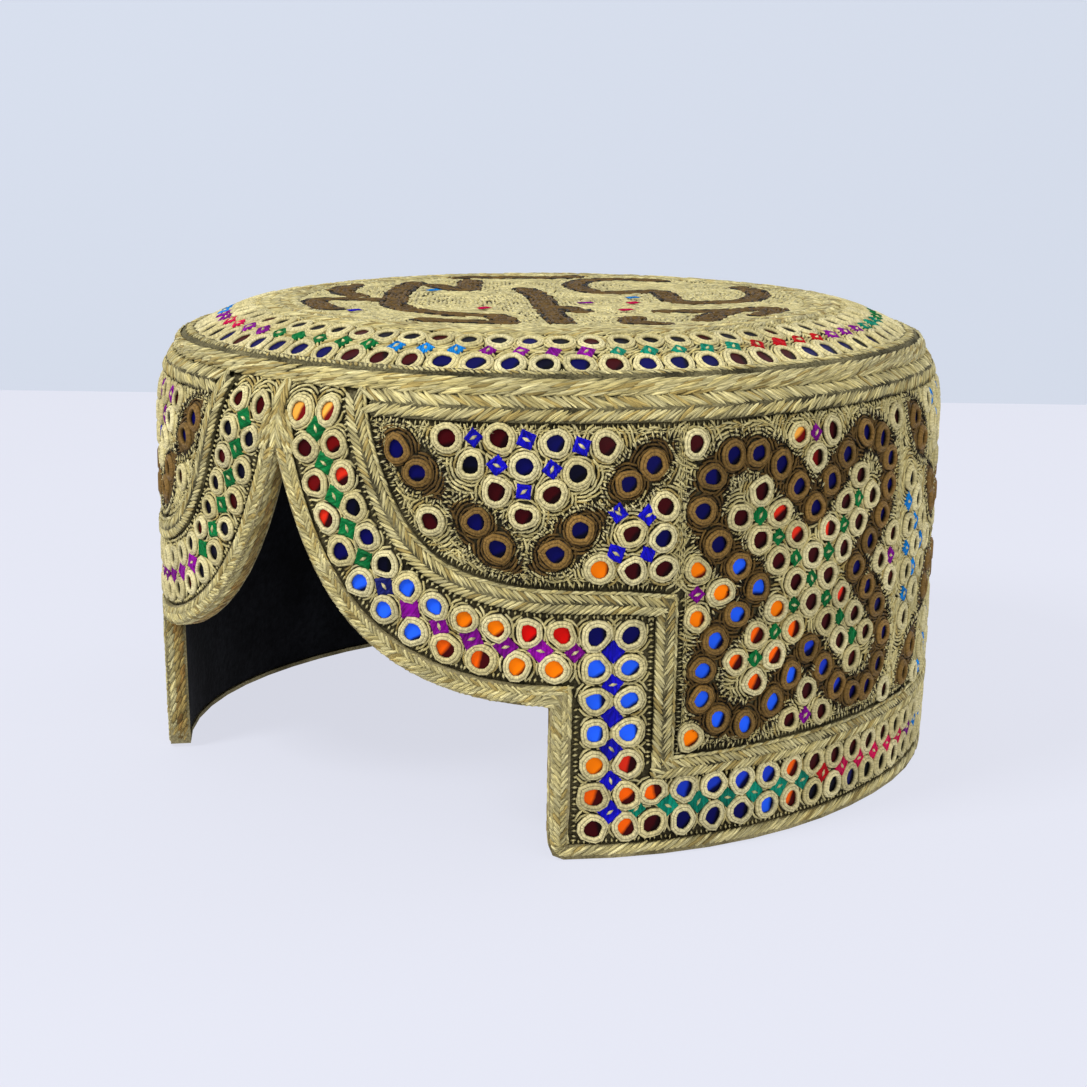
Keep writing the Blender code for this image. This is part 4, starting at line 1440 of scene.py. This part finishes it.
# Ticks and chains that edge the braids, the panels and the brown shapes
bundle = newBundle()
beadTicks = {"pitch": 1.2, "long": 1.4, "fat": 1.0, "high": 0.9}
layTicks(bundle, framePath, wallSurface, -3.1, **beadTicks)
layTicks(bundle, framePath, wallSurface, 3.4, long=1.8)
layTicks(bundle, upperPath, wallSurface, -3.1, pitch=1.1, long=1.6)
layTicks(bundle, edge, wallSurface, 5.3, start=3.0, end=stepTop, **beadTicks)
layTicks(bundle, edge, wallSurface, 5.3, start=stepTop + 1, end=hemStart - 5, **beadTicks)
layTicks(bundle, edge, wallSurface, 3.6, pitch=1.2, start=hemStart, long=1.2, fat=0.8, high=0.85)
insideEnds = (archLengthAt(27.0, z=91.0), archLengthAt(27.0, z=59.2))
insidePath = [tuple(place) for place in alongArch(27.0, np.linspace(*insideEnds, 50))]
layChain(bundle, evenPath(insidePath + [(89.4, 59.0)]), wallSurface)
layChain(bundle, evenPath([(25.0, 90.3), (halfGirth, 90.3)]), wallSurface)
layChain(bundle, evenPath([(90.6, 56.0), (90.6, 23.6), (halfGirth, 23.6)]), wallSurface)
addMirrored(bundle)
for k in range(sidePanels["count"] + 1):
    s = sidePanels["start"] + k * sidePanels["width"]
    low = 24.0 if 0 < k < sidePanels["count"] else 58.0
    for shift in (-0.5, 0.5):
        layChain(bundle, evenPath([(s + shift, 90.0), (s + shift, low)]), wallSurface, fat=1.0)
finishBundle(bundle, "panelChains", goldMaterial)

bundle = newBundle()
outlines = [(evenPath(leafOutline(leaf), 0.4), 0.0, 1) for leaf in leafShapes]
for line in loopLines:
    outlines += [(line, brownForms["loopHalf"], 1), (line, -brownForms["loopHalf"], -1)]
for path, shift, outward in outlines:
    layTicks(
        bundle, path, wallSurface, shift + 0.5 * outward, pitch=brownForms["fringePitch"],
        long=brownForms["fringeLong"], fat=0.6, lift=0.6, colours=("dark", "dark"),
    )
    layTicks(
        bundle, path, wallSurface, shift + 0.9 * outward, pitch=1.45, long=1.7, fat=0.78, lift=0.85,
        start=0.4, colours=("gold", "lipPale"),
    )
finishBundle(bundle, "brownFringe", goldMaterial)
print("ticks and chains laid")

# Ground stitches: thread laid in loops round every ring until it meets the next ring's loops
ground = {
    "ringReach": 3.3,
    "rowPitch": 0.8,
    "stitchPitch": 2.2,
    "long": 2.9,
    "fat": 0.98,
    "high": 0.75,
    "lift": 0.26,
    "rows": 13,
    "top": 91.3,
    "foreheadHalf": 20.8,
    "foreheadTop": 97.3,
    "openingHalf": 70.0,
    "edgeClear": (5.9, 4.3),  # from the bound edge of the opening, and from the hem
    "frameClear": 3.9,
    "crownFrom": 8.0,
    "crownTo": 23.4,
    "split": 147.0,  # between the front piece and the back piece
}


def loopsRound(rings, wide):
    # Each place is kept only by the ring that is nearest to it
    centreA, centreB, size = columnsOf(rings, "a", "b", "size")
    reach = ground["ringReach"] * size
    found = []
    for a0, b0, own in zip(centreA, centreB, reach):
        squash = 1.0 if wide is None else 1 / wide(b0)
        da, db = wrapped(centreA - a0) * squash, centreB - b0
        near = (np.abs(da) < 26) & (np.abs(db) < 26)
        radii, angles = [], []
        for k in range(ground["rows"]):
            radius = own + ground["rowPitch"] * (k + 0.4)
            count = max(int(2 * math.pi * radius / ground["stitchPitch"]), 8)
            angles.append(rng.random() * 6.28 + np.arange(count) * 2 * math.pi / count)
            radii.append(np.full(count, radius))
        radius, angle = np.concatenate(radii), np.concatenate(angles)
        pa, pb = np.cos(angle) * radius, np.sin(angle) * radius
        others = np.hypot(pa[:, None] - da[near], pb[:, None] - db[near]) - reach[near]
        keep = radius - own <= others.min(axis=1) + 0.12
        found.append(np.stack([a0 + pa / squash, b0 + pb, angle + math.pi / 2, 1 / radius], 1)[keep])
    return np.vstack(found)


def layLoops(name, surface, places, brown, wide=None, fat=1.0):
    a, b, turn, bend = places.T
    n = len(a)
    mix = rng.random((n, 1))
    colour = np.where(rng.random((n, 1)) < 0.12, threadDyes["goldDeep"], mixed("gold", "goldPale", mix))
    bundle = newBundle()
    addCopies(
        bundle, threadUnit, surface, a, b, lift=ground["lift"] + rng.uniform(0, 0.16, n),
        turn=turn + rng.normal(0, 0.13, n), bend=bend,
        size=(ground["long"] * rng.uniform(0.85, 1.2, n), ground["fat"] * fat, ground["high"]),
        spread=1.0 if wide is None else wide(b),
        values={"linearColour": np.where(brown[:, None], mixed("brownDeep", "brown", mix), colour)},
    )
    finishBundle(bundle, name, goldMaterial)


def wallPlaces():
    places = loopsRound(wallRings, None)
    side, b = np.abs(wrapped(places[:, 0])), places[:, 1]
    clear = np.where(side < ground["openingHalf"], *ground["edgeClear"])
    top = np.where(side < ground["foreheadHalf"], ground["foreheadTop"], ground["top"])
    keep = (b > edgeHeight(side, 0)) & (gapToLine(side, b, edge) > clear) & (b < top)
    places, side, b = places[keep], side[keep], b[keep]
    return places[gapToLine(side, b, framePath) > ground["frameClear"]]


places = wallPlaces()
brown = brownAt(places[:, 0], places[:, 1])
front = np.abs(wrapped(places[:, 0])) < ground["split"]
layLoops("groundStitchesFront", wallSurface, places[front], brown[front])
layLoops("groundStitchesBack", wallSurface, places[~front], brown[~front])

crownPlaces = loopsRound(crownRings, crownSpread)
between = (crownPlaces[:, 1] > ground["crownFrom"]) & (crownPlaces[:, 1] < ground["crownTo"])
crownPlaces = crownPlaces[between]
layLoops("shoulderStitches", crownSurface, crownPlaces, np.zeros(len(crownPlaces), bool), crownSpread)

# Top: chain stitch that flows beside brown scrolls
crownForms = {
    "scrolls": (
        ((-57, -10), (-52, -20), (-46, -26), (-38, -29)),
        ((-44, 21), (-36, 11), (-27, 0), (-34, 0), (-42, 5)),
        ((-50, 6), (-42, -8), (-34, -19), (-25, -30), (-18, -39), (-5, -45), (7, -44), (13, -39),
         (20, -44), (25, -49), (18, -53), (8, -57)),
        ((-22, -55), (-33, -49), (-39, -43), (-36, -37), (-29, -33)),
        ((-20, 14), (-3, -1), (10, -16), (20, -27), (33, -40)),
        ((10, -16), (17, -15), (22, -19)),
        ((-8, 57), (-18, 54), (-24, 46), (-20, 34), (-10, 24), (0, 18), (3, 25), (8, 34), (16, 25),
         (27, 13), (34, 19), (37, 29), (32, 43), (26, 51), (18, 56)),
        ((36, -5), (44, 1), (47, 8), (50, 20), (55, 14), (56, 4)),
        ((47, 5), (49, -5), (53, -14)),
        ((39, -22), (44, -30), (50, -27)),
        ((-52, 26), (-44, 36), (-34, 42), (-32, 50)),
    ),
    "bandHalf": 3.0,
    "paleAndPaintedLightShare": 0.35,
    "rowPitch": 1.05,
    "cell": 1.3,
    "long": 2.8,
    "fat": 1.25,
    "accents": (
        (-32, -8, "Y"), (15, 12, "Y"), (22, 2, "C"), (14, -6, "P"), (4, -32, "C"),
        (-14, -56, "U"), (30, -12, "C"),
    ),
}


def smoothStroke(stroke):
    # Corner cutting turns a few charted points into a soft scroll
    points = np.array(stroke, float)
    for _ in range(3):
        near, far = points[:-1] * 0.75 + points[1:] * 0.25, points[:-1] * 0.25 + points[1:] * 0.75
        points = np.vstack([points[:1], np.stack([near, far], 1).reshape(-1, 2), points[-1:]])
    return points


def insideTop(x, y):
    halfX, halfY = rim["topHalf"]
    power = capForm["squareness"]
    return np.abs(x / halfX) ** power + np.abs(y / halfY) ** power < 1


def layTop(name):
    # Stitches lie in rows at even distances from the scrolls
    line = np.vstack([evenPath(smoothStroke(stroke), 0.8)["points"] for stroke in crownForms["scrolls"]])
    x, y = np.meshgrid(*(np.arange(-half, half, crownForms["cell"]) for half in rim["topHalf"]))
    x = (x + rng.uniform(-0.5, 0.5, x.shape)).ravel()
    y = (y + rng.uniform(-0.5, 0.5, y.shape)).ravel()
    away = np.hypot(x[:, None] - line[None, :, 0], y[:, None] - line[None, :, 1])
    best = away.argmin(axis=1)
    gap = np.maximum(away[np.arange(len(x)), best], 0.05)
    near = line[best]
    row = (np.floor(gap / crownForms["rowPitch"]) + 0.5) * crownForms["rowPitch"]
    outX, outY = (x - near[:, 0]) / gap, (y - near[:, 1]) / gap
    x, y = near[:, 0] + outX * row, near[:, 1] + outY * row
    keep = insideTop(x, y)
    x, y, row, turn = x[keep], y[keep], row[keep], np.arctan2(outX, -outY)[keep]
    n = len(x)
    band = row < crownForms["bandHalf"]
    outline = np.abs(row - crownForms["bandHalf"]) < 0.56
    mix = rng.random((n, 1))
    # The top's stitches are mixed paler: partly their own colour, partly painted light on the top
    pale = mixed("gold", "goldPale", crownForms["paleAndPaintedLightShare"] + (1 - crownForms["paleAndPaintedLightShare"]) * mix)
    colour = np.where(band[:, None], mixed("brownDeep", "brown", mix), pale)
    colour = np.where((outline & (rng.random(n) < 0.45))[:, None], threadDyes["dark"], colour)
    bundle = newBundle()
    addCopies(
        bundle, threadUnit, topSurface, x, y, lift=0.2 + 0.2 * band + rng.uniform(0, 0.2, n),
        turn=turn + rng.normal(0, 0.3, n),
        size=(crownForms["long"] * rng.uniform(0.8, 1.2, n), crownForms["fat"], 0.8), values={"linearColour": colour},
    )
    finishBundle(bundle, name, goldMaterial)


def layAccents(name):
    # Small bright stitches here and there on the top
    x, y, silk = zip(*crownForms["accents"])
    x, y, silk = np.array(x, float), np.array(y, float), np.array([silkDyes[letter] for letter in silk])
    bundle = newBundle()
    for k in range(4):
        addCopies(
            bundle, stitchUnit, topSurface, x + rng.normal(0, 0.3, len(x)), y + 0.8 * (k - 1.5), lift=1.1,
            turn=rng.normal(0, 0.2, len(x)), size=(3.4, 0.9, 0.6), values={"linearColour": silk},
        )
    finishBundle(bundle, name, silkMaterial)


layTop("topStitches")
layAccents("topAccents")
bundle = newBundle()
for inset in (8.4, 23.2):
    path = evenPath([(0, inset), (2 * halfGirth, inset)])
    layTicks(bundle, path, crownSurface, 0.0, pitch=1.1, fat=0.6, spread=float(crownSpread(inset)))
finishBundle(bundle, "shoulderTicks", goldMaterial)
print("ground stitches laid")

# Studio: pale table and backdrop, soft light, and the camera where the photograph was taken
studio = {
    "aim": (0.0, 0.0, 0.0485),
    "azimuth": 37.32,
    "elevation": 12.38,
    "distance": 0.508,
    "pan": -0.203,
    "tilt": -0.208,
    "roll": 0.79,
    "lens": 67.48,
    "backdropAway": 0.56,
    "table": (linearColour(226, 228, 240), 0.13, 0.88),
    "wall": (linearColour(210, 217, 230), 0.3, 0.71),
    "room": ((1.0, 1.0, 1.0, 1), 0.42),
    "lights": (
        ("keyLight", (-0.25, -0.85, 0.85), 0.35, 11.0),
        ("fillLight", (0.95, -0.45, 0.45), 0.9, 5.0),
        ("backLight", (0.3, 0.75, 0.75), 0.5, 2.5),
    ),
}


def turnPair(one, two, degrees):
    angle = math.radians(degrees)
    return one * math.cos(angle) + two * math.sin(angle), two * math.cos(angle) - one * math.sin(angle)


def placeCamera():
    a, e = math.radians(studio["azimuth"]), math.radians(studio["elevation"])
    back = np.array([math.sin(a) * math.cos(e), -math.cos(a) * math.cos(e), math.sin(e)])
    forward = -back
    right = np.cross(forward, [0, 0, 1])
    right /= np.linalg.norm(right)
    up = np.cross(right, forward)
    forward, right = turnPair(forward, right, studio["pan"])
    forward, up = turnPair(forward, up, studio["tilt"])
    right, up = turnPair(right, up, studio["roll"])
    data = bpy.data.cameras.new("camera")
    data.lens = studio["lens"]
    data.sensor_width = 36
    camera = bpy.data.objects.new("camera", data)
    bpy.context.collection.objects.link(camera)
    matrix = np.eye(4)
    matrix[:3, 0], matrix[:3, 1], matrix[:3, 2] = right, up, -forward
    matrix[:3, 3] = np.array(studio["aim"]) + back * studio["distance"]
    camera.matrix_world = Matrix(matrix.tolist())
    bpy.context.scene.camera = camera
    return back


def stageMaterial(name, colour, share, glow):
    # Part of the tone is its own glow, so that shadows on it stay faint
    material, tree, shader = newMaterial(name)
    where = addNode(tree, "ShaderNodeTexCoord")
    noise = noiseNode(tree, where.outputs["Object"], 3.0, 4.0)
    shade = mapRange(tree, noise.outputs["Fac"], share * 0.99, share * 1.01, 0.3, 0.7).outputs[0]
    tint = addNode(tree, "ShaderNodeRGB")
    tint.outputs[0].default_value = (*colour, 1)
    tree.links.new(scaled(tree, tint.outputs[0], shade), shader.inputs["Base Color"])
    shader.inputs["Emission Color"].default_value = (*colour, 1)
    shader.inputs["Emission Strength"].default_value = glow
    shader.inputs["Roughness"].default_value = 0.9
    shader.inputs["Specular IOR Level"].default_value = 0.05
    return material


def makeStudio(back):
    deselectAll()
    bpy.ops.mesh.primitive_plane_add(size=6, location=(0, 0, -0.0002))
    floor = bpy.context.active_object
    floor.name = "tableTop"
    floor.data.materials.append(stageMaterial("paleTable", *studio["table"]))
    away = -np.array([back[0], back[1]]) / np.hypot(back[0], back[1]) * studio["backdropAway"]
    turn = math.atan2(back[1], back[0]) + math.pi / 2
    bpy.ops.mesh.primitive_plane_add(size=6, location=(away[0], away[1], 0), rotation=(math.pi / 2, 0, turn))
    backdrop = bpy.context.active_object
    backdrop.name = "backdrop"
    backdrop.data.materials.append(stageMaterial("paleWall", *studio["wall"]))
    world = bpy.data.worlds.new("softRoom")
    bpy.context.scene.world = world
    world.use_nodes = True
    sky = world.node_tree.nodes["Background"]
    sky.inputs[0].default_value, sky.inputs[1].default_value = studio["room"]
    for name, place, size, power in studio["lights"]:
        data = bpy.data.lights.new(name, "AREA")
        data.size = size
        data.energy = power
        light = bpy.data.objects.new(name, data)
        light.location = place
        aim = np.array(studio["aim"]) - np.array(place)
        light.rotation_euler = Vector(aim).to_track_quat("-Z", "Y").to_euler()
        bpy.context.collection.objects.link(light)


makeStudio(placeCamera())
bpy.context.scene.view_settings.view_transform = "Standard"
print("studio set")
